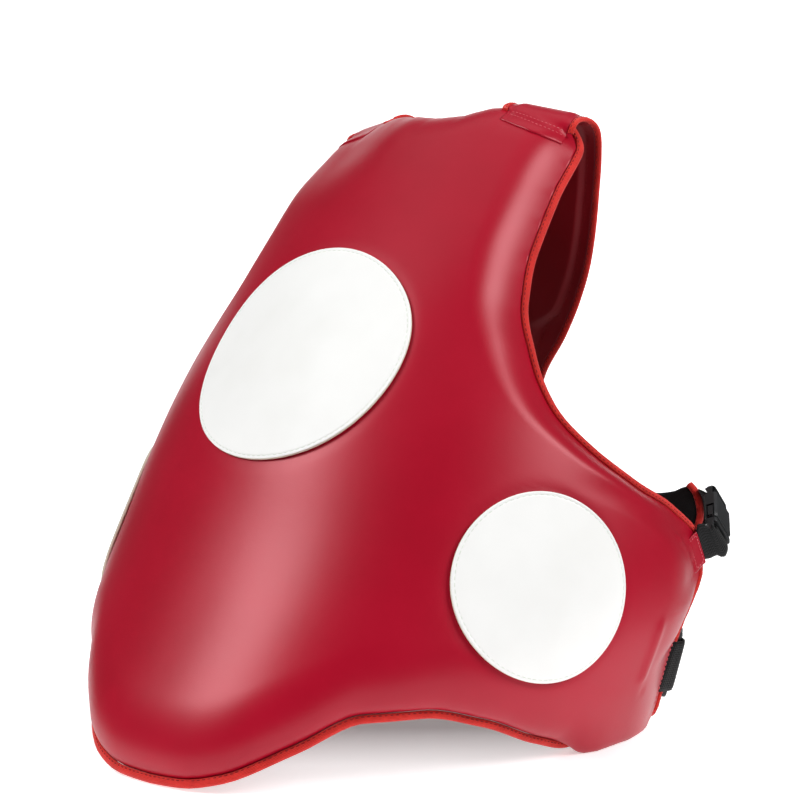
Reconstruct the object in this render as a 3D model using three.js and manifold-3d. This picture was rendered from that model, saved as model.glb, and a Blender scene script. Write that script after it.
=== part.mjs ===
// Trainer body protector: a padded leather front that stands on its belly tongue and flanks,
// with a shoulder harness, a back band on two buckles and a waist belt on two rings.
// Millimetres, +Z up, the chest faces -Y, +X is the wearer's left.
import * as THREE from 'three';
import { mergeVertices } from 'three/addons/utils/BufferGeometryUtils.js';
import Module from 'manifold-3d';

const wasm = await Module();
wasm.setup();

// ---------------------------------------------------------------- driving sizes
const DROP = 13; // the wearer's right shoulder rests this much lower
const FRAME_Y = -62.77; // from the drafting origin to the middle of the finished object
const PAD_OUT = 26; // padding in front of the seam surface
const PAD_IN = 14; // padding behind it
const ROLL = 46; // how far from its bottom and top edges the pad is rolled down
const ARM_ROLL = 42; // the same from the arm cut-out
const REAR_FROM = 4, REAR_TO = 84; // flat margin at a tab on the rear edge of a flank, and where the padding is full
const EDGE_HALF = 2; // half thickness of the pad's margin at the seam
const TAPE_W = 6.4; // face of the edge tape
const TAPE_HALF = 3.4; // half thickness of the taped edge
const GAP = 0.3;
const INSET = TAPE_W + GAP; // the pad stops this far inside the finished outline
const TUCK = 21; // how far the leather sags to the floor along the bottom of a flank
const TONGUE_TURN = 0.9; // degrees, the tip of the tongue leans this much to the wearer's left
const TUCK_FROM = 60, TUCK_TO = 71; // degrees round the body where the sag sets in
const CHEST_DIA = 200, FLANK_DIA = 150, PATCH_T = 2.2, PATCH_LIFT = 1.0;
const CHEST_Z = 294.5, FLANK_Z = 136.8, FLANK_ANGLE = 51.3;
const STRAP_T = 9, STRAP_EDGE_T = 3.4, HTAPE_W = 5, HTAPE_HALF = 2.6;
const BAND_T = 5, BAND_TAPE_HALF = 3.8, BAND_Y = 302, BAND_LOW = 140, BAND_END_X = 178;
const WEB_W = 25, WEB_T = 1.6;
const BUCKLE = { len: 52, wide: 32, thick: 12, base: 15, slot: 5, bar: 4 };
const BUCKLE_NEAR = [229.2, 266.5, 142.3], BUCKLE_FAR = [205.1, 303.8, 172.9], BUCKLE_TURN = 28;
const RING = { len: 62, deep: 19, bar: 5, thick: 5, turn: 35 };
const RING_Z = 45, BELT_W = 46, BELT_T = 2.2, BELT_BACK_Y = 290, BELT_BACK_Z = 44;
const UPPER_TAB_Z = 139, UPPER_TAB_W = 30, LOWER_TAB_W = 44, TAB_T = 2;
const TAB_TURN = 19; // degrees, the upper tab slopes this much from the rear edge

// Level sections of the seam surface: how far forward the middle is, half width, depth of the curve, squareness.
const SECTIONS = [
  { z: 0, front: -185.5, half: 205, depth: 355.5, square: 2.55 },
  { z: 60, front: -141, half: 217.5, depth: 323, square: 2.3 },
  { z: 120, front: -97, half: 230.3, depth: 291.5, square: 2.17 },
  { z: 180, front: -60.7, half: 221, depth: 261, square: 2.15 },
  { z: 250, front: -23.7, half: 208, depth: 236, square: 2.03 },
  { z: 320, front: 28.6, half: 198.5, depth: 225.6, square: 2.02 },
  { z: 390, front: 89, half: 194.6, depth: 211.2, square: 2.12 },
  { z: 450, front: 146.8, half: 186.6, depth: 199, square: 2.11 },
  { z: 500, front: 205, half: 179, depth: 185, square: 2.1 },
];
// Side outline, degrees round the body: rear edge of the flank, its upper corner, then the arm cut-out.
const SIDE = [
  { z: 0, angle: 99.6 }, { z: 14, angle: 100.4 }, { z: 28, angle: 100.3 }, { z: 40, angle: 100 }, { z: 60, angle: 99.2 }, { z: 80, angle: 98.7 },
  { z: 100, angle: 99.7 }, { z: 120, angle: 101.2 }, { z: 140, angle: 100.9 }, { z: 155, angle: 99.3 }, { z: 180, angle: 91.5 }, { z: 205, angle: 79.7 }, { z: 235, angle: 67.4 },
  { z: 270, angle: 56 }, { z: 310, angle: 47.4 }, { z: 350, angle: 41.5 }, { z: 390, angle: 39.7 },
  { z: 430, angle: 39.7 }, { z: 465, angle: 40.6 }, { z: 500, angle: 32.3 },
];
// Bottom outline: tongue, arch, flank on the floor.
const BOTTOM = [
  { angle: 0, z: -0.7 }, { angle: 5, z: 0.5 }, { angle: 10, z: 6.5 }, { angle: 18, z: 28 }, { angle: 26, z: 48 },
  { angle: 34, z: 48.6 }, { angle: 44, z: 37 }, { angle: 56, z: 14.5 }, { angle: 66, z: 2.6 }, { angle: 82, z: 1.6 }, { angle: 110, z: 1.6 },
];
// Top outline: neckline, then the shoulders under the straps.
const TOP = [{ angle: 0, z: 494 }, { angle: 8, z: 496 }, { angle: 12, z: 500 }, { angle: 15.5, z: 500 }, { angle: 21, z: 494.5 }, { angle: 30, z: 492 }, { angle: 45, z: 489.5 }];

// Left shoulder strap and its half of the V, front to back: inner edge (x, y, z) and outer edge (x, y, z).
const STRAP = [
  { xi: 62, yi: 192, zi: 502.5, xo: 118.5, yo: 201, zo: 489 },
  { xi: 61, yi: 204, zi: 505, xo: 116, yo: 217, zo: 496.5 },
  { xi: 59, yi: 219, zi: 501.5, xo: 117.5, yo: 231, zo: 494.5 },
  { xi: 58, yi: 231, zi: 491, xo: 118.5, yo: 240, zo: 484 },
  { xi: 57, yi: 239, zi: 473, xo: 116.5, yo: 246, zo: 464 },
  { xi: 54, yi: 244, zi: 442, xo: 113, yo: 249, zo: 436 },
  { xi: 48, yi: 249, zi: 408, xo: 108.5, yo: 252, zo: 406 },
  { xi: 38, yi: 253, zi: 374, xo: 101.5, yo: 255, zo: 373 },
  { xi: 23, yi: 257, zi: 343, xo: 90.5, yo: 258, zo: 343 },
  { xi: -1, yi: 262, zi: 308, xo: 72, yo: 262, zo: 308 },
  { xi: -1, yi: 267, zi: 272, xo: 47.5, yo: 267, zo: 272 },
  { xi: -1, yi: 275, zi: 235, xo: 33, yo: 275, zo: 235 },
  { xi: -1, yi: 287, zi: 196, xo: 31, yo: 287, zo: 196 },
  { xi: -1, yi: 292, zi: 176, xo: 32, yo: 292, zo: 176 },
  { xi: -1, yi: 293.5, zi: 146, xo: 32, yo: 293.5, zo: 146 },
];
const LAP = { inner: { angle: 18.2, z: 481.8 }, outer: { angle: 35.4, z: 462.4 } }; // front end of the strap on the pad
const LAP_T = [0.3, 0.6]; // share of the strap's thickness at its front end and at the next row
const STRAP_ROW = [0, 0.14, 0.34, 0.66, 0.86, 1]; // stations across the strap

// ---------------------------------------------------------------- small maths
const rad = (d) => (d * Math.PI) / 180;
const V = (x, y, z) => new THREE.Vector3(x, y, z);
const clamp = (v, a, b) => Math.min(b, Math.max(a, v));
const smooth = (a, b, v) => { const t = clamp((v - a) / (b - a), 0, 1); return t * t * (3 - 2 * t); };

function naturalSpline(rows, key) {
  const x = rows.map((r) => r.z), y = rows.map((r) => r[key]), n = x.length;
  const u = Array(n).fill(0), m = Array(n).fill(0);
  for (let i = 1; i < n - 1; i++) {
    const s = (x[i] - x[i - 1]) / (x[i + 1] - x[i - 1]), p = s * m[i - 1] + 2;
    m[i] = (s - 1) / p;
    u[i] = (6 * ((y[i + 1] - y[i]) / (x[i + 1] - x[i]) - (y[i] - y[i - 1]) / (x[i] - x[i - 1])) / (x[i + 1] - x[i - 1]) - s * u[i - 1]) / p;
  }
  m[n - 1] = 0;
  for (let i = n - 2; i >= 0; i--) m[i] = m[i] * m[i + 1] + u[i];
  return (v) => {
    let i = 0;
    while (i < n - 2 && v > x[i + 1]) i++;
    const h = x[i + 1] - x[i], a = (x[i + 1] - v) / h, b = (v - x[i]) / h;
    return a * y[i] + b * y[i + 1] + (((a ** 3 - a) * m[i] + (b ** 3 - b) * m[i + 1]) * h * h) / 6;
  };
}
function monotone(rows, kx, ky) {
  const x = rows.map((r) => r[kx]), y = rows.map((r) => r[ky]), n = x.length, d = [], h = [], t = [];
  for (let i = 0; i < n - 1; i++) { h[i] = x[i + 1] - x[i]; d[i] = (y[i + 1] - y[i]) / h[i]; }
  for (let i = 1; i < n - 1; i++) {
    const w1 = 2 * h[i] + h[i - 1], w2 = h[i] + 2 * h[i - 1];
    t[i] = d[i - 1] * d[i] <= 0 ? 0 : (w1 + w2) / (w1 / d[i - 1] + w2 / d[i]);
  }
  t[0] = d[0]; t[n - 1] = d[n - 2];
  return (v) => {
    const q = clamp(v, x[0], x[n - 1]);
    let i = 0;
    while (i < n - 2 && q > x[i + 1]) i++;
    const s = (q - x[i]) / h[i], s2 = s * s, s3 = s2 * s;
    return (2 * s3 - 3 * s2 + 1) * y[i] + (s3 - 2 * s2 + s) * h[i] * t[i] + (3 * s2 - 2 * s3) * y[i + 1] + (s3 - s2) * h[i] * t[i + 1];
  };
}

// ---------------------------------------------------------------- seam surface
const front = naturalSpline(SECTIONS, 'front'), half = naturalSpline(SECTIONS, 'half');
const depth = naturalSpline(SECTIONS, 'depth'), square = naturalSpline(SECTIONS, 'square');
const sideAngle = monotone(SIDE, 'z', 'angle'), bottomZ = monotone(BOTTOM, 'angle', 'z'), topZ = monotone(TOP, 'angle', 'z');

function seam(deg, z) {
  const a = half(z), b = depth(z), n = square(z), t = rad(deg);
  const r = ((Math.abs(Math.sin(t)) / a) ** n + (Math.abs(Math.cos(t)) / b) ** n) ** (-1 / n);
  return V(r * Math.sin(t), front(z) + b - r * Math.cos(t), z);
}
function across(fn, deg, z) {
  const du = fn(deg + 0.2, z).sub(fn(deg - 0.2, z)), dv = fn(deg, z + 1).sub(fn(deg, z - 1));
  return du.cross(dv).normalize();
}
const seamNormal = (deg, z) => across(seam, deg, z);
const armLength = (deg, z) => seam(deg + 0.5, z).distanceTo(seam(deg - 0.5, z)); // mm per degree

// outline of the pad itself, inside the tape
function padSide(z) {
  const per = armLength(sideAngle(z), z), slope = ((sideAngle(z + 1) - sideAngle(z - 1)) / 2) * per;
  return sideAngle(z) - (INSET * Math.sqrt(1 + slope * slope)) / per;
}
const lopsided = (deg) => Math.abs(deg - TONGUE_TURN * (1 - smooth(20, 60, Math.abs(deg))));
function padBottom(deg) {
  const a = lopsided(deg), per = armLength(a, bottomZ(a)), slope = (bottomZ(a + 0.5) - bottomZ(a - 0.5)) / per;
  return bottomZ(a) + INSET * Math.sqrt(1 + slope * slope);
}
const padTop = (deg) => topZ(Math.abs(deg)) - INSET;
const roll = (d, l) => Math.sqrt(Math.max(0, 1 - (1 - clamp(d / l, 0, 1)) ** 2));
const pulled = (z) => smooth(10, 24, z) * (1 - smooth(66, 80, z)) + smooth(108, 122, z); // where a tab pulls the margin flat
function sideFull(d, z) {
  const f = smooth(150, 215, z), w = pulled(z), rounded = 1 - (1 - clamp(d / REAR_TO, 0, 1)) ** 2;
  return f * Math.sin((Math.PI / 2) * clamp(d / ARM_ROLL, 0, 1)) + (1 - f) * (w * smooth(REAR_FROM, REAR_TO, d) + (1 - w) * rounded);
}
function fullness(deg, z) {
  const a = Math.abs(deg);
  return sideFull((padSide(z) - a) * armLength(a, z), z) * roll(z - padBottom(deg), ROLL) * roll((padTop(a) - z) * 1.4, ROLL);
}
function padOuter(deg, z) {
  const k = fullness(deg, z), p = seam(deg, z).addScaledVector(seamNormal(deg, z), EDGE_HALF + (PAD_OUT - EDGE_HALF) * k);
  const near = 1 - smooth(0, 60, z - padBottom(deg));
  p.z -= TUCK * smooth(TUCK_FROM, TUCK_TO, Math.abs(deg)) * Math.sin(Math.PI * Math.min(1, k)) * near;
  return p;
}
const padInner = (deg, z) => seam(deg, z).addScaledVector(seamNormal(deg, z), -EDGE_HALF - (PAD_IN - EDGE_HALF) * fullness(deg, z));

// ---------------------------------------------------------------- meshes
function solid(points, faces) {
  let vol = 0;
  for (const [a, b, c] of faces) vol += points[a].dot(points[b].clone().cross(points[c]));
  const g = new THREE.BufferGeometry();
  g.setAttribute('position', new THREE.Float32BufferAttribute(points.flatMap((p) => [p.x, p.y, p.z]), 3));
  g.setIndex(faces.flatMap(([a, b, c]) => (vol < 0 ? [a, c, b] : [a, b, c])));
  return g;
}
// rings of the same number of points, joined in order; open lofts are capped
function loft(rings, closed = false) {
  const n = rings[0].length, m = rings.length, pts = rings.flat(), f = [];
  for (let i = 0; i < (closed ? m : m - 1); i++) {
    const a = i * n, b = ((i + 1) % m) * n;
    for (let j = 0; j < n; j++) {
      const k = (j + 1) % n;
      f.push([a + j, a + k, b + k], [a + j, b + k, b + j]);
    }
  }
  if (!closed) for (let j = 1; j < n - 1; j++) f.push([0, j + 1, j], [(m - 1) * n, (m - 1) * n + j, (m - 1) * n + j + 1]);
  return solid(pts, f);
}
// two skins over the same grid, joined round the border
function shell(outer, inner) {
  const m = outer.length, n = outer[0].length, pts = [...outer.flat(), ...inner.flat()], s = m * n, f = [];
  const id = (i, j) => i * n + j;
  for (let i = 0; i < m - 1; i++) for (let j = 0; j < n - 1; j++) {
    const a = id(i, j), b = id(i + 1, j), c = id(i + 1, j + 1), d = id(i, j + 1);
    f.push([a, b, c], [a, c, d], [s + a, s + c, s + b], [s + a, s + d, s + c]);
  }
  const rim = border(m, n).map(([i, j]) => id(i, j));
  rim.forEach((a, k) => { const b = rim[(k + 1) % rim.length]; f.push([a, s + a, s + b], [a, s + b, b]); });
  return solid(pts, f);
}
function border(m, n) {
  const out = [];
  for (let i = 0; i < m; i++) out.push([i, 0]);
  for (let j = 1; j < n; j++) out.push([m - 1, j]);
  for (let i = m - 2; i >= 0; i--) out.push([i, n - 1]);
  for (let j = n - 2; j > 0; j--) out.push([0, j]);
  return out;
}
// taped edge: a bevelled bar on the outside of a line of points
function tape(points, normals, away, w, h, closed) {
  const m = points.length;
  const rings = points.map((p, i) => {
    const a = points[closed ? (i + m - 1) % m : Math.max(0, i - 1)], b = points[closed ? (i + 1) % m : Math.min(m - 1, i + 1)];
    const t = b.clone().sub(a).normalize(), e = t.clone().cross(normals[i]).normalize();
    if (e.dot(away[i]) < 0) e.negate();
    const nn = e.clone().cross(t).normalize();
    if (nn.dot(normals[i]) < 0) nn.negate();
    const at = (x, y) => p.clone().addScaledVector(e, x).addScaledVector(nn, y);
    return [at(GAP, -1.1), at(GAP, 1.1), at(GAP + w * 0.32, h), at(GAP + w * 0.85, h * 0.7), at(GAP + w, 0), at(GAP + w * 0.85, -h * 0.7), at(GAP + w * 0.32, -h)];
  });
  return loft(rings, closed);
}
// flat ribbon: rows of centre, unit width direction, unit thickness direction
function ribbon(rows, w, t) {
  return loft(rows.map(({ c, w: wd, t: td }) => [[-1, -1], [1, -1], [1, 1], [-1, 1]].map(([a, b]) =>
    c.clone().addScaledVector(wd, (a * w) / 2).addScaledVector(td, (b * t) / 2))));
}
// ribbon that follows a line; the width direction is given at each point, and is squared to the line unless it is skewed
function strip(points, widths, w, t, skewed = false) {
  return ribbon(points.map((c, i) => {
    const d = points[Math.min(points.length - 1, i + 1)].clone().sub(points[Math.max(0, i - 1)]).normalize();
    const td = d.clone().cross(widths[i]).normalize(), wd = skewed ? widths[i] : td.clone().cross(d).normalize();
    return { c, w: wd, t: td };
  }), w, t);
}
function toManifold(g) {
  let q = g.clone();
  q.deleteAttribute('normal'); q.deleteAttribute('uv');
  q = mergeVertices(q, 1e-4);
  return new wasm.Manifold(new wasm.Mesh({ numProp: 3, vertProperties: new Float32Array(q.attributes.position.array), triVerts: new Uint32Array(q.index.array) }));
}
function fromManifold(man) {
  const mesh = man.getMesh(), g = new THREE.BufferGeometry();
  const p = new Float32Array((mesh.vertProperties.length / mesh.numProp) * 3);
  for (let i = 0; i < p.length / 3; i++) for (let k = 0; k < 3; k++) p[3 * i + k] = mesh.vertProperties[i * mesh.numProp + k];
  g.setAttribute('position', new THREE.BufferAttribute(p, 3));
  g.setIndex(Array.from(mesh.triVerts));
  return g;
}
const box = (x0, x1, y0, y1, z0, z1) => new THREE.BoxGeometry(x1 - x0, y1 - y0, z1 - z0).translate((x0 + x1) / 2, (y0 + y1) / 2, (z0 + z1) / 2);
function mirror(g) {
  const q = g.clone(), p = q.attributes.position;
  for (let i = 0; i < p.count; i++) p.setX(i, -p.getX(i));
  const x = Array.from(q.index.array);
  for (let i = 0; i < x.length; i += 3) [x[i + 1], x[i + 2]] = [x[i + 2], x[i + 1]];
  q.setIndex(x);
  return q;
}

// ---------------------------------------------------------------- colours
const stuff = (color, roughness, metalness = 0) => new THREE.MeshStandardMaterial({ color, roughness, metalness });
const RED = stuff(0xb01830, 0.42), TAPE = stuff(0xd8322a, 0.8), WHITE = stuff(0xf1f1ee, 0.5);
const BLACK_WEB = stuff(0x17171a, 0.85), BLACK_PLASTIC = stuff(0x1e1f22, 0.45);

const group = new THREE.Group();
function add(name, geometry, material) {
  let g = geometry.index ? geometry : mergeVertices(geometry, 1e-4);
  g.deleteAttribute('normal'); g.deleteAttribute('uv');
  g = mergeVertices(g.clone().translate(0, FRAME_Y, 0), 1e-4);
  const p = g.attributes.position;
  for (let i = 0; i < p.count; i++) p.setZ(i, p.getZ(i) - DROP * smooth(420, 490, p.getZ(i)) * smooth(10, 80, -p.getX(i)));
  g.computeVertexNormals();
  const mesh = new THREE.Mesh(g, material);
  mesh.name = name;
  group.add(mesh);
}

// ---------------------------------------------------------------- front pad
const COLS = 18, ROWS = 22; // columns from the middle to one side, rows from bottom to top
const ease = (t, k) => 1 - (1 - t) ** k;
function padPoint(p, q) {
  let z = 20 + 440 * q, deg = p * padSide(z);
  for (let i = 0; i < 80; i++) {
    z = 0.5 * z + 0.5 * (padBottom(deg) + (padTop(deg) - padBottom(deg)) * q);
    deg = p * padSide(z);
  }
  return { deg, z };
}
const spots = [];
for (let i = -COLS; i <= COLS; i++) {
  const p = Math.sign(i) * ease(Math.abs(i) / COLS, 1.45), line = [];
  for (let j = 0; j < ROWS; j++) {
    const t = j / (ROWS - 1), q = t < 0.5 ? 0.5 * (2 * t) ** 1.5 : 1 - 0.5 * (2 - 2 * t) ** 1.5;
    line.push(padPoint(p, q));
  }
  spots.push(line);
}
const outerSkin = spots.map((l) => l.map((s) => padOuter(s.deg, s.z)));
const innerSkin = spots.map((l) => l.map((s) => padInner(s.deg, s.z)));
const floor = box(-400, 400, -400, 400, -60, 0);
add('front_pad', fromManifold(toManifold(shell(outerSkin, innerSkin)).subtract(toManifold(floor))), RED);

// ---------------------------------------------------------------- tape round the pad
const rim = border(2 * COLS + 1, ROWS).map(([i, j]) => ({ i, j, s: spots[i][j] }));
const rimPoints = rim.map(({ s }) => seam(s.deg, s.z)), rimNormals = rim.map(({ s }) => seamNormal(s.deg, s.z));
const rimAway = rim.map(({ i, j }, k) => {
  const a = spots[clamp(i, 1, 2 * COLS - 1)][clamp(j, 1, ROWS - 2)];
  return rimPoints[k].clone().sub(seam(a.deg, a.z));
});
add('edge_binding', tape(rimPoints, rimNormals, rimAway, TAPE_W, TAPE_HALF, true), TAPE);

// ---------------------------------------------------------------- round patches
function patch(deg0, z0, dia) {
  const e = 1.146, h = 5;
  const du = padOuter(deg0 + e, z0).sub(padOuter(deg0 - e, z0)).divideScalar(2 * e), dv = padOuter(deg0, z0 + h).sub(padOuter(deg0, z0 - h)).divideScalar(2 * h);
  const a = du.dot(du), b = du.dot(dv), c = dv.dot(dv), det = a * c - b * b;
  const l11 = Math.sqrt(c / det), l21 = -b / det / l11, l22 = Math.sqrt(a / det - l21 * l21);
  const RINGS = 4, SPOKES = 30, low = [], high = [];
  const place = (r, t) => {
    const x = r * Math.cos(t), y = r * Math.sin(t), deg = deg0 + l11 * x, z = z0 + l21 * x + l22 * y;
    const n = across(padOuter, deg, z), p = padOuter(deg, z);
    return [p.clone().addScaledVector(n, PATCH_LIFT), p.clone().addScaledVector(n, PATCH_LIFT + PATCH_T)];
  };
  const pts = [], f = [], [c0, c1] = place(0, 0);
  pts.push(c0, c1);
  for (let r = 1; r <= RINGS; r++) for (let s = 0; s < SPOKES; s++) pts.push(...place((dia / 2) * (r / RINGS), (2 * Math.PI * s) / SPOKES));
  const id = (r, s, k) => 2 + 2 * ((r - 1) * SPOKES + (s % SPOKES)) + k;
  for (let s = 0; s < SPOKES; s++) {
    f.push([1, id(1, s, 1), id(1, s + 1, 1)], [0, id(1, s + 1, 0), id(1, s, 0)]);
    for (let r = 1; r < RINGS; r++) for (const k of [0, 1]) {
      const q = [id(r, s, k), id(r + 1, s, k), id(r + 1, s + 1, k), id(r, s + 1, k)];
      f.push(...(k ? [[q[0], q[1], q[2]], [q[0], q[2], q[3]]] : [[q[0], q[2], q[1]], [q[0], q[3], q[2]]]));
    }
    f.push([id(RINGS, s, 0), id(RINGS, s + 1, 0), id(RINGS, s + 1, 1)], [id(RINGS, s, 0), id(RINGS, s + 1, 1), id(RINGS, s, 1)]);
  }
  return solid(pts, f);
}
add('chest_patch', patch(0, CHEST_Z, CHEST_DIA), WHITE);
const flankPatch = patch(FLANK_ANGLE, FLANK_Z, FLANK_DIA);
add('left_flank_patch', flankPatch, WHITE);
add('right_flank_patch', mirror(flankPatch), WHITE);

// ---------------------------------------------------------------- shoulder harness
const lapPoint = (u) => {
  const deg = LAP.inner.angle + (LAP.outer.angle - LAP.inner.angle) * u, z = LAP.inner.z + (LAP.outer.z - LAP.inner.z) * u;
  return padOuter(deg, z).addScaledVector(across(padOuter, deg, z), 1.2 + (LAP_T[0] * STRAP_T) / 2);
};
const strapRows = [STRAP_ROW.map(lapPoint), ...STRAP.map((r) => STRAP_ROW.map((u) => V(r.xi + (r.xo - r.xi) * u, r.yi + (r.yo - r.yi) * u, r.zi + (r.zo - r.zi) * u)))];
const strapNormals = strapRows.map((row, i) => row.map((p, j) => {
  const along = strapRows[Math.min(strapRows.length - 1, i + 1)][j].clone().sub(strapRows[Math.max(0, i - 1)][j]);
  const side = row[Math.min(row.length - 1, j + 1)].clone().sub(row[Math.max(0, j - 1)]);
  return side.cross(along).normalize();
}));
const strapHalf = (u) => (STRAP_EDGE_T + (STRAP_T - STRAP_EDGE_T) * Math.min(1, (1 - Math.abs(2 * u - 1)) / 0.28)) / 2;
const merged = STRAP.map((r) => r.xi < 0);
const halfAt = (i, j) => (LAP_T[i] ?? 1) * strapHalf(i > 0 && merged[i - 1] ? 0.5 + STRAP_ROW[j] / 2 : STRAP_ROW[j]);
const strapTop = strapRows.map((row, i) => row.map((p, j) => p.clone().addScaledVector(strapNormals[i][j], halfAt(i, j))));
const strapLow = strapRows.map((row, i) => row.map((p, j) => p.clone().addScaledVector(strapNormals[i][j], -halfAt(i, j))));
const leftStrap = shell(strapTop, strapLow);
add('back_harness', fromManifold(toManifold(leftStrap).add(toManifold(mirror(leftStrap)))), RED);

const flip = (p) => V(-p.x, p.y, p.z);
const last = STRAP_ROW.length - 1, end = strapRows.length - 1;
const outEdge = strapRows.map((r) => r[last]), outNormal = strapNormals.map((r) => r[last]), outAway = strapRows.map((r) => r[last].clone().sub(r[last - 1]));
const footY = strapRows[end][0].y, footZ = strapRows[end][0].z, DOWN = V(0, 0, -1), BACK = V(0, 1, 0);
const footL = V(outEdge[end].x - 6, footY, footZ), footAway = V(1, 0, -1);
outAway[end] = footAway;
const outLine = [...outEdge, footL, flip(footL), ...outEdge.map(flip).reverse()];
const outNormals = [...outNormal, outNormal[end], flip(outNormal[end]), ...outNormal.map(flip).reverse()];
const outAways = [...outAway, DOWN, DOWN, ...outAway.map(flip).reverse()];
add('harness_outer_binding', tape(outLine, outNormals, outAways, HTAPE_W, HTAPE_HALF, false), TAPE);

const notch = merged.indexOf(true) + 1; // first row that reaches the middle
const inEdge = strapRows.slice(1, notch).map((r) => r[0]), inNormal = strapNormals.slice(1, notch).map((r) => r[0]);
const inAway = strapRows.slice(1, notch).map((r) => r[0].clone().sub(r[1]));
const inLine = [...inEdge, V(0, strapRows[notch][0].y, strapRows[notch][0].z + 3), ...inEdge.map(flip).reverse()];
const inNormals = [...inNormal, BACK, ...inNormal.map(flip).reverse()];
const inAways = [...inAway, V(0, 0, 1), ...inAway.map(flip).reverse()];
add('harness_inner_binding', tape(inLine, inNormals, inAways, HTAPE_W, HTAPE_HALF, false), TAPE);

// ---------------------------------------------------------------- band across the back
const BAND = [{ x: 0, top: 168 }, { x: 110, top: 168 }, { x: 146, top: 169.5 }, { x: 164, top: 173 }, { x: BAND_END_X, top: 178.5 }];
const BAND_TIP = [[BAND_END_X, 140], [183, 142], [187, 148], [188.5, 157], [187, 166], [183.5, 173.5], [BAND_END_X, 178.5]]; // bowed end (x, z)
const bandRows = [...BAND.slice(1).reverse().map((r) => ({ x: -r.x, top: r.top })), ...BAND];
const bandRing = (r) => [V(r.x, BAND_Y - BAND_T / 2, BAND_LOW), V(r.x, BAND_Y + BAND_T / 2, BAND_LOW), V(r.x, BAND_Y + BAND_T / 2, r.top), V(r.x, BAND_Y - BAND_T / 2, r.top)];
const tipRing = ([x, low, top]) => [V(x, BAND_Y - BAND_T / 2, low), V(x, BAND_Y + BAND_T / 2, low), V(x, BAND_Y + BAND_T / 2, top), V(x, BAND_Y - BAND_T / 2, top)];
const tips = [[183, 142, 174.2], [187, 148, 166], [187.4, 152, 162]].map(tipRing), farTips = [[-187.4, 152, 162], [-187, 148, 166], [-183, 142, 174.2]].map(tipRing);
add('back_band', loft([...farTips, ...bandRows.map(bandRing), ...tips]), BLACK_WEB);
const bandTape = tape(BAND_TIP.map(([x, z]) => V(x, BAND_Y, z)), BAND_TIP.map(() => BACK), BAND_TIP.map(([, z]) => V(1, 0, (z - 158) / 30)), HTAPE_W, BAND_TAPE_HALF, false);
add('left_band_binding', bandTape, TAPE);
add('right_band_binding', mirror(bandTape), TAPE);

// ---------------------------------------------------------------- frame on the rear edge of a flank
function rearEdge(z) {
  const at = (q) => seam(padSide(q), q), o = at(z), a = at(z + 4).sub(at(z - 4)).normalize(), n = seamNormal(padSide(z), z);
  const e = a.clone().cross(n).normalize();
  if (e.y < 0) e.negate();
  return { o, a, e, n: e.clone().cross(a).normalize().multiplyScalar(Math.sign(e.clone().cross(a).dot(n))) };
}
const on = (f, a, e, n) => f.o.clone().addScaledVector(f.a, a).addScaledVector(f.e, e).addScaledVector(f.n, n);

// ---------------------------------------------------------------- upper tab, webbing and buckle
const upper = rearEdge(UPPER_TAB_Z);
const slant = rad(TAB_TURN), tabAcross = upper.a.clone().multiplyScalar(Math.cos(slant)).addScaledVector(upper.e, -Math.sin(slant));
const tabAlong = upper.e.clone().multiplyScalar(Math.cos(slant)).addScaledVector(upper.a, Math.sin(slant));
const onTab = (l, n) => on(upper, 2.9, -4, n).addScaledVector(tabAlong, l);
const upperLine = [[-16, 5.8], [-11, 5.2], [-5, 4.9], [1.6, 4.9]];
add('left_upper_tab', strip(upperLine.map(([l, n]) => onTab(l, n)), upperLine.map(() => tabAcross), UPPER_TAB_W, TAB_T), RED);

const near = V(...BUCKLE_NEAR), far = V(...BUCKLE_FAR), bl = far.clone().sub(near).normalize();
const bt0 = V(0.785, 0.619, 0), flat = bt0.clone().addScaledVector(bl, -bt0.dot(bl)).normalize();
const bt = flat.clone().applyAxisAngle(bl, -rad(BUCKLE_TURN)), bw = bt.clone().cross(bl).normalize();
const buckleFrame = new THREE.Matrix4().makeBasis(bl, bw, bt.clone()).setPosition(near);
const flipBasis = buckleFrame.determinant() < 0;
const { len: BL, wide: BW, thick: BT, base: BB, slot: BS, bar: BR } = BUCKLE;
const placeBuckle = (man) => {
  const g = fromManifold(man);
  g.applyMatrix4(buckleFrame);
  if (flipBasis) { const x = Array.from(g.index.array); for (let i = 0; i < x.length; i += 3) [x[i + 1], x[i + 2]] = [x[i + 2], x[i + 1]]; g.setIndex(x); }
  return g;
};
const chamfered = (x0, x1, w, t, c) => loft([[x0, 0.8], [x0 + 2, 1], [x1 - 2, 1], [x1, 0.8]].map(([x, s]) => {
  const W = (w / 2) - (1 - s) * 4, T = (t / 2) - (1 - s) * 4;
  return [[-W + c, -T], [W - c, -T], [W, -T + c], [W, T - c], [W - c, T], [-W + c, T], [-W, T - c], [-W, -T + c]].map(([y, z]) => V(x, y, z));
}));
const BAR_HALF = 2.2, CL = 0.4, PRONG = { from: BB - 3, to: BB + 19, low: 6.5, high: 12.2, t: 5.2 }, BUTTON = { from: BB + 2.5, to: BB + 13.5, high: BW / 2 - 0.6 };
const thin = (man, x0, x1) => man.subtract(toManifold(box(x0, x1, -BW, BW, BAR_HALF, 20))).subtract(toManifold(box(x0, x1, -BW, BW, -20, -BAR_HALF)));
let male = thin(toManifold(chamfered(0, BB, BW - 1, BT - 1.5, 1.5)), -1, BR + BS).subtract(toManifold(box(BR, BR + BS, -WEB_W / 2 - 0.8, WEB_W / 2 + 0.8, -20, 20)));
let female = thin(toManifold(chamfered(BB + CL, BL, BW, BT, 2)), BL - BR - BS, BL + 1).subtract(toManifold(box(BL - BR - BS, BL - BR, -WEB_W / 2 - 0.8, WEB_W / 2 + 0.8, -20, 20)));
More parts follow.
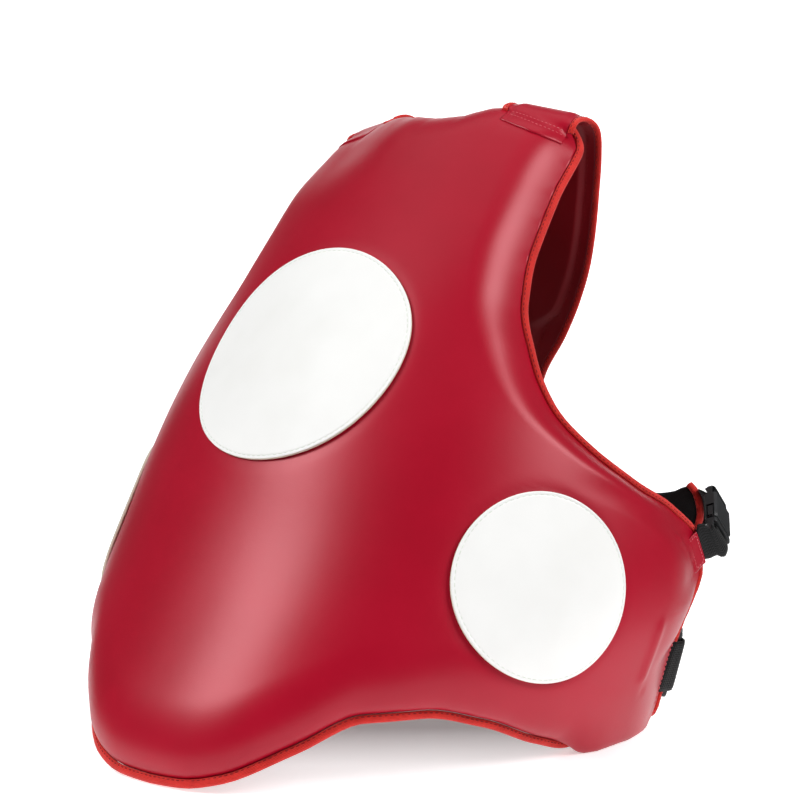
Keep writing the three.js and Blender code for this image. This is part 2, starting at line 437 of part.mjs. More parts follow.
for (const s of [-1, 1]) {
  const span = (a, b) => (s > 0 ? [a, b] : [-b, -a]);
  male = male.add(toManifold(box(PRONG.from, PRONG.to, ...span(PRONG.low, PRONG.high), -PRONG.t / 2, PRONG.t / 2)));
  male = male.add(toManifold(box(BUTTON.from, BUTTON.to, ...span(PRONG.high - 1, BUTTON.high), -PRONG.t / 2, PRONG.t / 2)));
  female = female.subtract(toManifold(box(PRONG.from - 1, PRONG.to + CL, ...span(PRONG.low - CL, PRONG.high + CL), -PRONG.t / 2 - CL, PRONG.t / 2 + CL)));
  female = female.subtract(toManifold(box(BUTTON.from - 1.5, BUTTON.to + 1.2, ...span(PRONG.high - 1, BW), -PRONG.t / 2 - 0.8, PRONG.t / 2 + 0.8)));
}
const maleG = placeBuckle(male), femaleG = placeBuckle(female);
add('left_buckle_male', maleG, BLACK_PLASTIC);
add('left_buckle_female', femaleG, BLACK_PLASTIC);

const inBuckle = (x, t) => near.clone().addScaledVector(bl, x).addScaledVector(bt, t);
// doubled webbing: out along the outer face, round the bar, back along the inner face
const ROUND_BAR = [[-6, 1.5], [-1.5, 3.2], [1, 3.6], [4.2, 3.4], [6.2, 1.6], [6.2, -1.6], [4.2, -3.4], [1, -3.6], [-1.5, -3.2], [-6, -1.5]];
const webLine = [onTab(2.1, 4.8), on(upper, 2.6, 5.5, 5.4), on(upper, 1.8, 16, 7.0), ...ROUND_BAR.map(([x, t]) => inBuckle(x, t)), on(upper, 1.8, 18, 3.4), on(upper, 2.2, 11, 2.2)];
const blend = (k) => tabAcross.clone().multiplyScalar(1 - k).addScaledVector(bw, k * (Math.sign(bw.dot(upper.a)) || 1)).normalize();
add('left_webbing', strip(webLine, [0, 0.15, 0.5, 0.9, 1, 1, 1, 1, 1, 1, 1, 1, 0.9, 0.5, 0.3].map(blend), WEB_W, WEB_T, true), BLACK_WEB);

const wb = BAND_Y + BAND_TAPE_HALF + 0.7 + WEB_T / 2, up = V(0, 0, 1), bwUp = bw.clone().multiplyScalar(Math.sign(bw.z));
const tilt = (k) => up.clone().multiplyScalar(1 - k).addScaledVector(bwUp, k).normalize();
const BACK_BAR = [[1.2, -7.6], [4.9, -3.4], [6, 1.6], [4.2, 3.5], [1, 3.7], [-1.5, 2.6], [-2.3, 0], [-1.9, -2.6], [-1.2, -5.2]]; // through the slot and round the end bar
const backLine = [V(134, wb, 153.5), V(171, wb, 157), V(189, wb + 4.4, 158), ...BACK_BAR.map(([x, t]) => inBuckle(BL - x, t))];
add('left_back_webbing', strip(backLine, [0, 0, 0.06, 0.9, ...BACK_BAR.slice(1).map(() => 1)].map(tilt), WEB_W, WEB_T), BLACK_WEB);

// ---------------------------------------------------------------- lower tab, ring and belt
const lower = rearEdge(RING_Z), turn = rad(RING.turn), barE = 12.4;
const wrapR = 5.6;
const lowerLine = [[-4, 4.9], [0, 5.1], [5, 5.3], [7.6, 5.6], ...[60, 20, -20, -60].map((d) => [barE + wrapR * Math.cos(rad(d)), wrapR * Math.sin(rad(d))]), [7.6, -TAPE_HALF - 2.3], [2.5, -TAPE_HALF - 2.8], [-1, -TAPE_HALF - 4.2]];
add('left_lower_tab', strip(lowerLine.map(([e, n]) => on(lower, 0, e, n)), lowerLine.map(() => lower.a), LOWER_TAB_W, TAB_T), BLACK_WEB);

const re = lower.e.clone().multiplyScalar(Math.cos(turn)).addScaledVector(lower.n, -Math.sin(turn)), rn = lower.n.clone().multiplyScalar(Math.cos(turn)).addScaledVector(lower.e, Math.sin(turn));
const ringO = on(lower, 0, barE, 0), inRing = (e, n, a = 0) => ringO.clone().addScaledVector(lower.a, a).addScaledVector(re, e).addScaledVector(rn, n);
const ringSlice = (w, x0, x1, h, c) => { const f = (z) => [[-w / 2 + c, x0], [w / 2 - c, x0], [w / 2, x0 + c], [w / 2, x1 - c], [w / 2 - c, x1], [-w / 2 + c, x1], [-w / 2, x1 - c], [-w / 2, x0 + c]].map(([a, e]) => V(a, e, z)); return loft([f(-h), f(h)]); };
const ringMan = toManifold(ringSlice(RING.len, -RING.bar / 2, RING.deep - RING.bar / 2, RING.thick / 2, 2)).subtract(toManifold(ringSlice(RING.len - 2 * RING.bar, RING.bar / 2, RING.deep - 1.5 * RING.bar, 20, 1)));
const ringG = fromManifold(ringMan);
{
  const p = ringG.attributes.position;
  for (let i = 0; i < p.count; i++) { const q = inRing(p.getY(i), p.getZ(i), p.getX(i)); p.setXYZ(i, q.x, q.y, q.z); }
  if (lower.a.clone().cross(re).dot(rn) < 0) { const x = Array.from(ringG.index.array); for (let i = 0; i < x.length; i += 3) [x[i + 1], x[i + 2]] = [x[i + 2], x[i + 1]]; ringG.setIndex(x); }
}
add('left_ring', ringG, BLACK_PLASTIC);

// belt: folded back outside each ring, then round the back
const oBar = RING.deep - RING.bar; // middle of the outer bar
const beltEnd = [[oBar + 26, 5.4], [oBar + 12, 5.0], [oBar + 2, 4.4], [oBar - 4.2, 3.4], [oBar - 4.9, 0], [oBar - 4.2, -3.4], [oBar + 2, -4.4], [oBar + 12, -4.6]].map(([e, n]) => inRing(e, n));
const beltFrom = beltEnd[beltEnd.length - 1], beltDir = re.clone(), beltMid = V(0, BELT_BACK_Y, BELT_BACK_Z);
const knee = beltFrom.clone().addScaledVector(beltDir, 60).setZ(BELT_BACK_Z - 6).setX(105).setY(BELT_BACK_Y);
const beltCurve = new THREE.QuadraticBezierCurve3(beltFrom, knee, beltMid);
const beltRun = [1, 2, 3, 4, 5, 6, 7].map((i) => beltCurve.getPoint(i / 8));
const aUp = lower.a.clone().multiplyScalar(Math.sign(lower.a.z));
const lean = (k) => aUp.clone().multiplyScalar(1 - k).addScaledVector(up, k).normalize();
const halfBelt = [...beltEnd, ...beltRun], halfLean = [...beltEnd.map(() => lean(0)), ...[0.25, 0.5, 0.75, 1, 1, 1, 1].map(lean)];
add('waist_belt', strip([...halfBelt, beltMid, ...halfBelt.map(flip).reverse()], [...halfLean, up, ...halfLean.map(flip).reverse()], BELT_W, BELT_T), BLACK_WEB);

for (const name of ['upper_tab', 'buckle_male', 'buckle_female', 'webbing', 'back_webbing', 'lower_tab', 'ring']) {
  const left = group.getObjectByName('left_' + name);
  const g = mirror(left.geometry.clone());
  g.deleteAttribute('normal');
  g.computeVertexNormals();
  const mesh = new THREE.Mesh(g, left.material);
  mesh.name = 'right_' + name;
  group.add(mesh);
}

export default group;
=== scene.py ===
import math
import bpy
import bmesh
import numpy as np
from mathutils import Matrix, Vector


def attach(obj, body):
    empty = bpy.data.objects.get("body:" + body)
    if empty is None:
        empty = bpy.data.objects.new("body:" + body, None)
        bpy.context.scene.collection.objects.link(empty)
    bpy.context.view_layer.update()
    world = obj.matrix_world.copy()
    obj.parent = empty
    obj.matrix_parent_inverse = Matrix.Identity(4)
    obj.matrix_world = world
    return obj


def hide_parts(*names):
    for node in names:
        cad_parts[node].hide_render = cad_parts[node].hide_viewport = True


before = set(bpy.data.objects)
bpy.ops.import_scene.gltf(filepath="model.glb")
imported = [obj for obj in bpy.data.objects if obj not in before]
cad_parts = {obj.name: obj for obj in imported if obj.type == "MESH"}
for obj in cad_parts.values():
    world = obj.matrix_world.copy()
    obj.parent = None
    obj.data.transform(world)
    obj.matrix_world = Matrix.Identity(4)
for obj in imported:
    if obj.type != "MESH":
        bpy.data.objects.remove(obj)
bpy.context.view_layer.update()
scene = bpy.context.scene

# ------------------------------------------------------------------ sizes in millimetres, the same as in the solid model
FRAME_Y, DROP = -62.77, 13.0
PAD_OUT, PAD_IN, ROLL, EDGE_HALF = 26.0, 14.0, 46.0, 2.0
ARM_ROLL, REAR_FROM, REAR_TO = 42.0, 4.0, 84.0
TAPE_W, TAPE_HALF, GAP = 6.4, 3.4, 0.3
INSET = TAPE_W + GAP
TUCK, TUCK_FROM, TUCK_TO, TONGUE_TURN = 21.0, 60.0, 71.0, 0.9
CHEST_DIA, FLANK_DIA = 200.0, 150.0
CHEST_Z, FLANK_Z, FLANK_ANGLE = 294.5, 136.8, 51.3
HTAPE_W, HTAPE_HALF = 5.0, 2.6
BAND_T, BAND_TAPE_HALF, BAND_Y, BAND_LOW, BAND_END_X = 5.0, 3.8, 302.0, 140.0, 178.0
WEB_W, WEB_T = 25.0, 1.6
BUCKLE_LEN = 52.0
BUCKLE_NEAR, BUCKLE_FAR, BUCKLE_TURN = (229.2, 266.5, 142.3), (205.1, 303.8, 172.9), 28.0
RING = dict(len=62.0, deep=19.0, bar=5.0, thick=5.0, turn=35.0)
RING_Z, BELT_W, BELT_T, BELT_BACK_Y, BELT_BACK_Z = 45.0, 46.0, 2.2, 290.0, 44.0
UPPER_TAB_Z, UPPER_TAB_W, LOWER_TAB_W, TAB_T, TAB_TURN = 139.0, 30.0, 44.0, 2.0, 19.0
FLOOR_GLOW, STRAP_TAPE_HALF = 0.70, 2.1

# level sections of the seam surface: z, front, half, depth, square
SECTIONS = np.array([
    (0, -185.5, 205, 355.5, 2.55), (60, -141, 217.5, 323, 2.3), (120, -97, 230.3, 291.5, 2.17),
    (180, -60.7, 221, 261, 2.15), (250, -23.7, 208, 236, 2.03), (320, 28.6, 198.5, 225.6, 2.02),
    (390, 89, 194.6, 211.2, 2.12), (450, 146.8, 186.6, 199, 2.11), (500, 205, 179, 185, 2.1)])
# side outline: z, angle
SIDE = np.array([
    (0, 99.6), (14, 100.4), (28, 100.3), (40, 100), (60, 99.2), (80, 98.7), (100, 99.7), (120, 101.2), (140, 100.9), (155, 99.3),
    (180, 91.5), (205, 79.7), (235, 67.4), (270, 56), (310, 47.4), (350, 41.5), (390, 39.7), (430, 39.7), (465, 40.6), (500, 32.3)])
# bottom outline and top outline: angle, z
BOTTOM = np.array([
    (0, -0.7), (5, 0.5), (10, 6.5), (18, 28), (26, 48), (34, 48.6), (44, 37), (56, 14.5), (66, 2.6), (82, 1.6), (110, 1.6)])
TOP = np.array([(0, 494), (8, 496.5), (12, 500.5), (15.5, 503), (18, 502.5), (21, 498), (30, 495), (45, 492.5)])
# left shoulder strap, front to back: inner edge x y z, outer edge x y z
STRAP = np.array([
    (62, 192, 501.5, 118.5, 201, 486.5), (61, 204, 504.5, 116, 217, 493), (59, 219, 501.3, 117.5, 231, 491.5),
    (58, 231, 491, 118.5, 240, 484), (57, 239, 473, 116.5, 246, 464), (54, 244, 442, 113, 249, 436),
    (48, 249, 408, 108.5, 252, 406), (38, 253, 374, 101.5, 255, 373), (23, 257, 343, 90.5, 258, 343),
    (-1, 262, 308, 72, 262, 308), (-1, 267, 272, 47.5, 267, 272), (-1, 275, 235, 33, 275, 235),
    (-1, 287, 196, 31, 287, 196), (-1, 292, 176, 32, 292, 176), (-1, 293.5, 146, 32, 293.5, 146)], float)
LAP = np.array([(19.7, 475.7), (24.2, 469.9), (28.3, 465.0), (31.8, 463.5), (35.2, 464.1)])  # front end of the strap on the pad, inner to outer
BAND = np.array([(0, 168), (110, 168), (146, 169.5), (164, 173), (BAND_END_X, 178.5), (183, 174.2), (187, 166), (187.4, 162)])  # x, top
BAND_UNDER = np.array([(0, 140), (BAND_END_X, 140), (183, 142), (187, 148), (187.4, 152)])  # x, bottom
BAND_TIP = np.array([(BAND_END_X, 140), (183, 142), (187, 148), (188.5, 157), (187, 166), (183.5, 173.5), (BAND_END_X, 178.5)])  # bowed end: x, z


# ------------------------------------------------------------------ small maths
def natural(x, y):
    x, y = np.array(x, float), np.array(y, float)
    n, h = len(x), np.diff(x)
    a, r = np.eye(n), np.zeros(n)
    for i in range(1, n - 1):
        a[i, i - 1:i + 2] = h[i - 1], 2 * (h[i - 1] + h[i]), h[i]
        r[i] = 6 * ((y[i + 1] - y[i]) / h[i] - (y[i] - y[i - 1]) / h[i - 1])
    m = np.linalg.solve(a, r)

    def f(v):
        v = np.asarray(v, float)
        i = np.clip(np.searchsorted(x, v) - 1, 0, n - 2)
        p, q = (x[i + 1] - v) / h[i], (v - x[i]) / h[i]
        return p * y[i] + q * y[i + 1] + ((p ** 3 - p) * m[i] + (q ** 3 - q) * m[i + 1]) * h[i] ** 2 / 6
    return f


def monotone(x, y):
    x, y = np.array(x, float), np.array(y, float)
    n, h = len(x), np.diff(x)
    d, t = np.diff(y) / h, np.zeros(len(x))
    for i in range(1, n - 1):
        w1, w2 = 2 * h[i] + h[i - 1], h[i] + 2 * h[i - 1]
        t[i] = 0 if d[i - 1] * d[i] <= 0 else (w1 + w2) / (w1 / d[i - 1] + w2 / d[i])
    t[0], t[-1] = d[0], d[-1]

    def f(v):
        v = np.clip(np.asarray(v, float), x[0], x[-1])
        i = np.clip(np.searchsorted(x, v) - 1, 0, n - 2)
        s = (v - x[i]) / h[i]
        return (2 * s ** 3 - 3 * s ** 2 + 1) * y[i] + (s ** 3 - 2 * s ** 2 + s) * h[i] * t[i] + (3 * s ** 2 - 2 * s ** 3) * y[i + 1] + (s ** 3 - s ** 2) * h[i] * t[i + 1]
    return f


def smooth(a, b, v):
    t = np.clip((np.asarray(v, float) - a) / (b - a), 0, 1)
    return t * t * (3 - 2 * t)


def unit(v):
    return v / np.maximum(np.linalg.norm(v, axis=-1, keepdims=True), 1e-9)


def dot(a, b):
    return (a * b).sum(-1, keepdims=True)


# ------------------------------------------------------------------ seam surface and pad
front, half, depth, square = (natural(SECTIONS[:, 0], SECTIONS[:, k]) for k in (1, 2, 3, 4))
side_angle, bottom_z, top_z = monotone(*SIDE.T), monotone(*BOTTOM.T), monotone(*TOP.T)


def seam(deg, z):
    t, z = np.radians(deg), np.asarray(z, float)
    a, b, n = half(z), depth(z), square(z)
    r = ((np.abs(np.sin(t)) / a) ** n + (np.abs(np.cos(t)) / b) ** n) ** (-1 / n)
    return np.stack(np.broadcast_arrays(r * np.sin(t), front(z) + b - r * np.cos(t), z), -1)


def across(fn, deg, z):
    return unit(np.cross(fn(deg + 0.2, z) - fn(deg - 0.2, z), fn(deg, z + 1) - fn(deg, z - 1)))


def per_degree(deg, z):
    return np.linalg.norm(seam(deg + 0.5, z) - seam(deg - 0.5, z), axis=-1)


def pad_side(z):
    a = side_angle(z)
    per = per_degree(a, z)
    slope = (side_angle(z + 1) - side_angle(z - 1)) / 2 * per
    return a - INSET * np.sqrt(1 + slope * slope) / per


def pad_bottom(deg):
    a = np.abs(deg - TONGUE_TURN * (1 - smooth(20, 60, np.abs(deg))))
    slope = (bottom_z(a + 0.5) - bottom_z(a - 0.5)) / per_degree(a, bottom_z(a))
    return bottom_z(a) + INSET * np.sqrt(1 + slope * slope)


def pad_top(deg):
    return top_z(np.abs(deg)) - INSET


def roll(d, l):
    return np.sqrt(np.maximum(0, 1 - (1 - np.clip(d / l, 0, 1)) ** 2))


def edge_distances(deg, z):
    a = np.abs(deg)
    return (pad_side(z) - a) * per_degree(a, z), z - pad_bottom(deg), pad_top(a) - z


def pulled(z):
    """Where a tab pulls the rear margin flat."""
    return 0.55 * smooth(8, 30, z) * (1 - smooth(60, 84, z)) + 0.8 * smooth(104, 124, z)


def side_full(d, z):
    f, w, rounded = smooth(150, 215, z), pulled(z), 1 - (1 - np.clip(d / REAR_TO, 0, 1)) ** 2
    return f * np.sin(math.pi / 2 * np.clip(d / ARM_ROLL, 0, 1)) + (1 - f) * (w * smooth(REAR_FROM, REAR_TO, d) + (1 - w) * rounded)


def fullness(deg, z):
    ds, db, dt = edge_distances(deg, z)
    return side_full(ds, z) * roll(db, ROLL) * roll(dt * 1.4, ROLL)


def pad_outer(deg, z):
    deg, z = np.broadcast_arrays(np.asarray(deg, float), np.asarray(z, float))
    k = fullness(deg, z)
    p = seam(deg, z) + across(seam, deg, z) * (EDGE_HALF + (PAD_OUT - EDGE_HALF) * k)[..., None]
    near = 1 - smooth(0, 60, z - pad_bottom(deg))
    p[..., 2] -= TUCK * smooth(TUCK_FROM, TUCK_TO, np.abs(deg)) * np.sin(math.pi * np.minimum(1, k)) * near
    return p


def pad_inner(deg, z):
    return seam(deg, z) - across(seam, deg, z) * (EDGE_HALF + (PAD_IN - EDGE_HALF) * fullness(deg, z))[..., None]


# ------------------------------------------------------------------ building meshes
def place(v):
    v = np.array(v, float).reshape(-1, 3)
    v[:, 1] += FRAME_Y
    v[:, 2] -= DROP * smooth(420, 490, v[:, 2]) * smooth(10, 80, -v[:, 0])
    return v * 0.001


def grid(m, n, off=0, close_m=False, close_n=False):
    i, j = np.meshgrid(np.arange(m if close_m else m - 1), np.arange(n if close_n else n - 1), indexing="ij")
    a, b = off + i * n + j, off + ((i + 1) % m) * n + j
    c, d = off + ((i + 1) % m) * n + (j + 1) % n, off + i * n + (j + 1) % n
    return np.stack([a, b, c, d], -1).reshape(-1, 4)


def volume(v, faces):
    total = 0.0
    for f in (faces if isinstance(faces, list) else [faces]):
        f = np.asarray(f)
        for k in range(1, f.shape[1] - 1):
            total += np.einsum("ij,ij->i", v[f[:, 0]], np.cross(v[f[:, k]], v[f[:, k + 1]])).sum()
    return total


def piece(name, verts, faces, materials, uv=None, slots=None, weld=False, rides="root"):
    """One mesh object from points in millimetres; faces is a list of arrays of quads or triangles, wound either way."""
    v = place(verts)
    faces = faces if isinstance(faces, list) else [faces]
    if volume(v, faces) < 0:
        faces = [np.asarray(f)[:, ::-1] for f in faces]
    me = bpy.data.meshes.new(name)
    me.from_pydata(v.tolist(), [], [f for a in faces for f in np.asarray(a).tolist()])
    if uv is not None:
        idx = np.empty(len(me.loops), int)
        me.loops.foreach_get("vertex_index", idx)
        me.uv_layers.new(name="UVMap").data.foreach_set("uv", np.asarray(uv, float).reshape(-1, 2)[idx].ravel())
    for m in materials:
        me.materials.append(m)
    if slots is not None:
        me.polygons.foreach_set("material_index", np.asarray(slots, int))
    me.polygons.foreach_set("use_smooth", np.ones(len(me.polygons), bool))
    if weld:
        bm = bmesh.new()
        bm.from_mesh(me)
        bmesh.ops.remove_doubles(bm, verts=bm.verts, dist=1e-5)
        bm.to_mesh(me)
        bm.free()
    me.update()
    ob = bpy.data.objects.new(name, me)
    scene.collection.objects.link(ob)
    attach(ob, rides)
    return ob


def mirrored(verts):
    return np.asarray(verts) * np.array([-1.0, 1, 1])


def join(*parts):
    """Several (verts, list of face arrays) as one."""
    vs, fs, off = [], [], 0
    for v, f in parts:
        v = np.asarray(v, float).reshape(-1, 3)
        vs.append(v)
        fs += [np.asarray(a) + off for a in (f if isinstance(f, list) else [f])]
        off += len(v)
    return np.vstack(vs), fs


def arc(points):
    return np.concatenate([[0], np.cumsum(np.linalg.norm(np.diff(points, axis=0), axis=1))])


def curve_through(points, n=None, step=None, extra=()):
    """Smooth line through points, evenly spaced; extra are other arrays carried along."""
    points = np.asarray(points, float)
    s = arc(points)
    n = n or max(3, int(round(s[-1] / step)) + 1)
    q = np.linspace(0, s[-1], n)
    f = [natural(s, points[:, k])(q) for k in range(3)]
    out = [np.stack(f, -1)]
    for e in extra:
        e = np.asarray(e, float)
        out.append(np.stack([np.interp(q, s, e[:, k]) for k in range(e.shape[1])], -1))
    return out if extra else out[0]


def tangents(p, closed=False):
    if closed:
        return unit(np.roll(p, -1, 0) - np.roll(p, 1, 0))
    return unit(np.gradient(p, axis=0))


def blur(v, k, closed=False):
    """Moving average along the first axis."""
    if k < 1:
        return v
    w = np.ones(2 * k + 1) / (2 * k + 1)
    pad = np.concatenate([v[-k:], v, v[:k]]) if closed else np.concatenate([np.repeat(v[:1], k, 0), v, np.repeat(v[-1:], k, 0)])
    return np.stack([np.convolve(pad[:, c], w, "valid") for c in range(v.shape[1])], -1)


def loft(rings, closed=False):
    """Closed solid from rings (m, k, 3); open ends get a fan to their middle."""
    rings = np.asarray(rings, float)
    m, k = rings.shape[:2]
    v, f = rings.reshape(-1, 3), [grid(m, k, 0, closed, True)]
    if not closed:
        v = np.vstack([v, rings[0].mean(0), rings[-1].mean(0)])
        j = np.arange(k)
        f.append(np.stack([np.full(k, m * k), j, (j + 1) % k], -1))
        f.append(np.stack([np.full(k, m * k + 1), (m - 1) * k + (j + 1) % k, (m - 1) * k + j], -1))
    return v, f


def strip(path, wide, profile, skewed=False):
    """Rings of a flat strip: profile (m or 1, k, 2) holds width and thickness places; its width is squared to the path unless skewed."""
    t = tangents(path)
    th = unit(np.cross(t, wide))
    wd = wide if skewed else unit(np.cross(th, t))
    pr = np.broadcast_to(profile, (len(path),) + profile.shape[-2:])
    return path[:, None] + wd[:, None] * pr[..., 0:1] + th[:, None] * pr[..., 1:2], wd, th


def flat_profile(w, t, cols=10, edge=0.35):
    """Rounded flat section, counter-clockwise; edge is the share of the thickness left at its rim."""
    x = np.linspace(-1, 1, cols)
    y = edge + (1 - edge) * (1 - np.abs(x) ** 8) ** 0.5
    top = np.stack([x * w / 2, y * t / 2], -1)
    return np.vstack([top, top[::-1] * [1, -1]])


def stitches(centres, along, normals, length, width, height):
    """Thread dashes, each a small closed bead that lies along a line."""
    c, t, n = (np.asarray(a, float).reshape(-1, 3) for a in (centres, along, normals))
    t = unit(t)
    n = unit(n - dot(n, t) * t)
    b = np.cross(t, n)
    stations = [(-1.0, 0.35), (-0.6, 0.95), (0.6, 0.95), (1.0, 0.35)]
    ang = np.linspace(0, 2 * math.pi, 5, endpoint=False) + math.pi / 2
    rings = np.stack([np.stack([c + t * (x * length / 2) + b * (math.cos(a) * s * width / 2) + n * (math.sin(a) * s * height / 2 - (1 - s) * height * 0.35)
                                for a in ang], 1) for x, s in stations], 1)
    m = len(c)
    v = rings.reshape(-1, 3)
    base = grid(4, 5, 0, False, True)
    quads = (base[None] + (np.arange(m) * 20)[:, None, None]).reshape(-1, 4)
    cap = np.array([[0, 1, 2], [0, 2, 3], [0, 3, 4], [15, 17, 16], [15, 18, 17], [15, 19, 18]])
    caps = (cap[None] + (np.arange(m) * 20)[:, None, None]).reshape(-1, 3)
    return v, [quads, caps]


def along_line(points, normals, pitch, closed=False, start=0.0):
    """Evenly spaced centres, directions and normals on a line."""
    p, nn = np.asarray(points), np.asarray(normals)
    if closed:
        p, nn = np.vstack([p, p[:1]]), np.vstack([nn, nn[:1]])
    s = arc(p)
    n = max(1, int((s[-1] - start) / pitch))
    q = start + (np.arange(n) + 0.5) * (s[-1] - start) / n
    f = lambda a, r: np.stack([np.interp(r, s, a[:, k]) for k in range(3)], -1)
    return f(p, q), f(p, np.minimum(q + 0.8, s[-1])) - f(p, np.maximum(q - 0.8, 0)), f(nn, q)


# ------------------------------------------------------------------ materials
def shader(name, rough, specular=0.5):
    m = bpy.data.materials.new(name)
    m.use_nodes = True
    nt = m.node_tree
    bsdf = nt.nodes["Principled BSDF"]
    bsdf.inputs["Roughness"].default_value = rough
    bsdf.inputs["Specular IOR Level"].default_value = specular
    return m, nt, bsdf


def node(nt, kind, **values):
    n = nt.nodes.new(kind)
    for k, v in values.items():
        if hasattr(n, k) and k not in n.inputs:
            setattr(n, k, v)
        else:
            n.inputs[k].default_value = v
    return n


def ramp(nt, source, stops):
    r = nt.nodes.new("ShaderNodeValToRGB")
    el = r.color_ramp.elements
    while len(el) < len(stops):
        el.new(0.5)
    for e, (pos, col) in zip(el, stops):
        e.position, e.color = pos, (*col, 1) if len(col) == 3 else col
    nt.links.new(source, r.inputs["Fac"])
    return r.outputs["Color"]


def grey(nt, source, low, high):
    r = node(nt, "ShaderNodeMapRange")
    r.inputs["To Min"].default_value, r.inputs["To Max"].default_value = low, high
    nt.links.new(source, r.inputs["Value"])
    return r.outputs["Result"]


def bump(nt, heights):
    """Chain of bumps: (height socket, strength, distance in metres)."""
    last = None
    for h, strength, dist in heights:
        b = node(nt, "ShaderNodeBump", Strength=strength, Distance=dist)
        nt.links.new(h, b.inputs["Height"])
        if last:
            nt.links.new(last, b.inputs["Normal"])
        last = b.outputs["Normal"]
    return last


def srgb(r, g, b):
    f = lambda c: c / 12.92 if c <= 0.04045 else ((c + 0.055) / 1.055) ** 2.4
    return f(r / 255), f(g / 255), f(b / 255)


def leather(name, dark, mid, light, rough, grain=0.16, scale=1500.0, specular=0.34, tint=(1.0, 1.0, 1.0)):
    m, nt, bsdf = shader(name, rough, specular)
    bsdf.inputs["Specular Tint"].default_value = (*tint, 1)
    co = nt.nodes.new("ShaderNodeTexCoord").outputs["Object"]
    cloud = node(nt, "ShaderNodeTexNoise", Scale=9.0, Detail=3.0, Roughness=0.55)
    pores = node(nt, "ShaderNodeTexVoronoi", Scale=scale, feature="SMOOTH_F1")
    fine = node(nt, "ShaderNodeTexNoise", Scale=scale * 0.45, Detail=4.0, Roughness=0.6)
    wide = node(nt, "ShaderNodeTexNoise", Scale=55.0, Detail=2.0)
    for t in (cloud, pores, fine, wide):
        nt.links.new(co, t.inputs["Vector"])
    nt.links.new(ramp(nt, cloud.outputs["Fac"], [(0.25, dark), (0.5, mid), (0.78, light)]), bsdf.inputs["Base Color"])
    nt.links.new(grey(nt, fine.outputs["Fac"], rough - 0.05, rough + 0.06), bsdf.inputs["Roughness"])
    nt.links.new(bump(nt, [(pores.outputs["Distance"], grain, 0.0002), (fine.outputs["Fac"], grain, 0.0002), (wide.outputs["Fac"], 0.10, 0.0006)]), bsdf.inputs["Normal"])
    return m


def woven(name, dark, mid, light, rough, across_n, along_n, depth_m=0.0003, fuzz=0.35, specular=0.25):
    """Woven tape or webbing: its map runs along the length (u) and across (v), one unit to 10 mm."""
    m, nt, bsdf = shader(name, rough, specular)
    uv = nt.nodes.new("ShaderNodeTexCoord").outputs["UV"]
    ob = nt.nodes.new("ShaderNodeTexCoord").outputs["Object"]
    ribs = node(nt, "ShaderNodeTexWave", Scale=along_n, Distortion=0.6, Detail=1.0, bands_direction="X")
    yarn = node(nt, "ShaderNodeTexWave", Scale=across_n, Distortion=0.4, Detail=1.0, bands_direction="Y")
    lint = node(nt, "ShaderNodeTexNoise", Scale=900.0, Detail=3.0, Roughness=0.7)
    cloud = node(nt, "ShaderNodeTexNoise", Scale=60.0, Detail=2.0)
    for t in (ribs, yarn):
        nt.links.new(uv, t.inputs["Vector"])
    for t in (lint, cloud):
        nt.links.new(ob, t.inputs["Vector"])
    mul = node(nt, "ShaderNodeMath", operation="MULTIPLY")
    nt.links.new(ribs.outputs["Fac"], mul.inputs[0])
    nt.links.new(yarn.outputs["Fac"], mul.inputs[1])
    add = node(nt, "ShaderNodeMath", operation="ADD")
    nt.links.new(mul.outputs["Value"], add.inputs[0])
    nt.links.new(grey(nt, cloud.outputs["Fac"], -0.25, 0.35), add.inputs[1])
    # the weave's height drives the colour as well as the bump: darker down in the grooves and lighter up on the ribs is
    # painted shade and light on the weave; the cloudy noise adds random tone
    nt.links.new(ramp(nt, add.outputs["Value"], [(0.0, dark), (0.35, mid), (0.9, light)]), bsdf.inputs["Base Color"])
    nt.links.new(bump(nt, [(mul.outputs["Value"], 0.6, depth_m), (lint.outputs["Fac"], fuzz, depth_m)]), bsdf.inputs["Normal"])
    bsdf.inputs["Sheen Weight"].default_value = 0.15
    bsdf.inputs["Sheen Roughness"].default_value = 0.5
    return m


def plastic(name, dark, light, rough):
    m, nt, bsdf = shader(name, rough)
    co = nt.nodes.new("ShaderNodeTexCoord").outputs["Object"]
    a = node(nt, "ShaderNodeTexNoise", Scale=1400.0, Detail=2.0)
    b = node(nt, "ShaderNodeTexNoise", Scale=70.0, Detail=3.0)
    for t in (a, b):
        nt.links.new(co, t.inputs["Vector"])
    nt.links.new(ramp(nt, b.outputs["Fac"], [(0.3, dark), (0.75, light)]), bsdf.inputs["Base Color"])
    nt.links.new(grey(nt, b.outputs["Fac"], rough - 0.08, rough + 0.12), bsdf.inputs["Roughness"])
    nt.links.new(bump(nt, [(a.outputs["Fac"], 0.25, 0.00015)]), bsdf.inputs["Normal"])
    return m


def thread(name, dark, light):
    m, nt, bsdf = shader(name, 0.65, 0.3)
    co = nt.nodes.new("ShaderNodeTexCoord").outputs["Object"]
    a = node(nt, "ShaderNodeTexNoise", Scale=2500.0, Detail=2.0)
    nt.links.new(co, a.inputs["Vector"])
    nt.links.new(ramp(nt, a.outputs["Fac"], [(0.3, dark), (0.7, light)]), bsdf.inputs["Base Color"])
    nt.links.new(bump(nt, [(a.outputs["Fac"], 0.3, 0.0001)]), bsdf.inputs["Normal"])
    return m


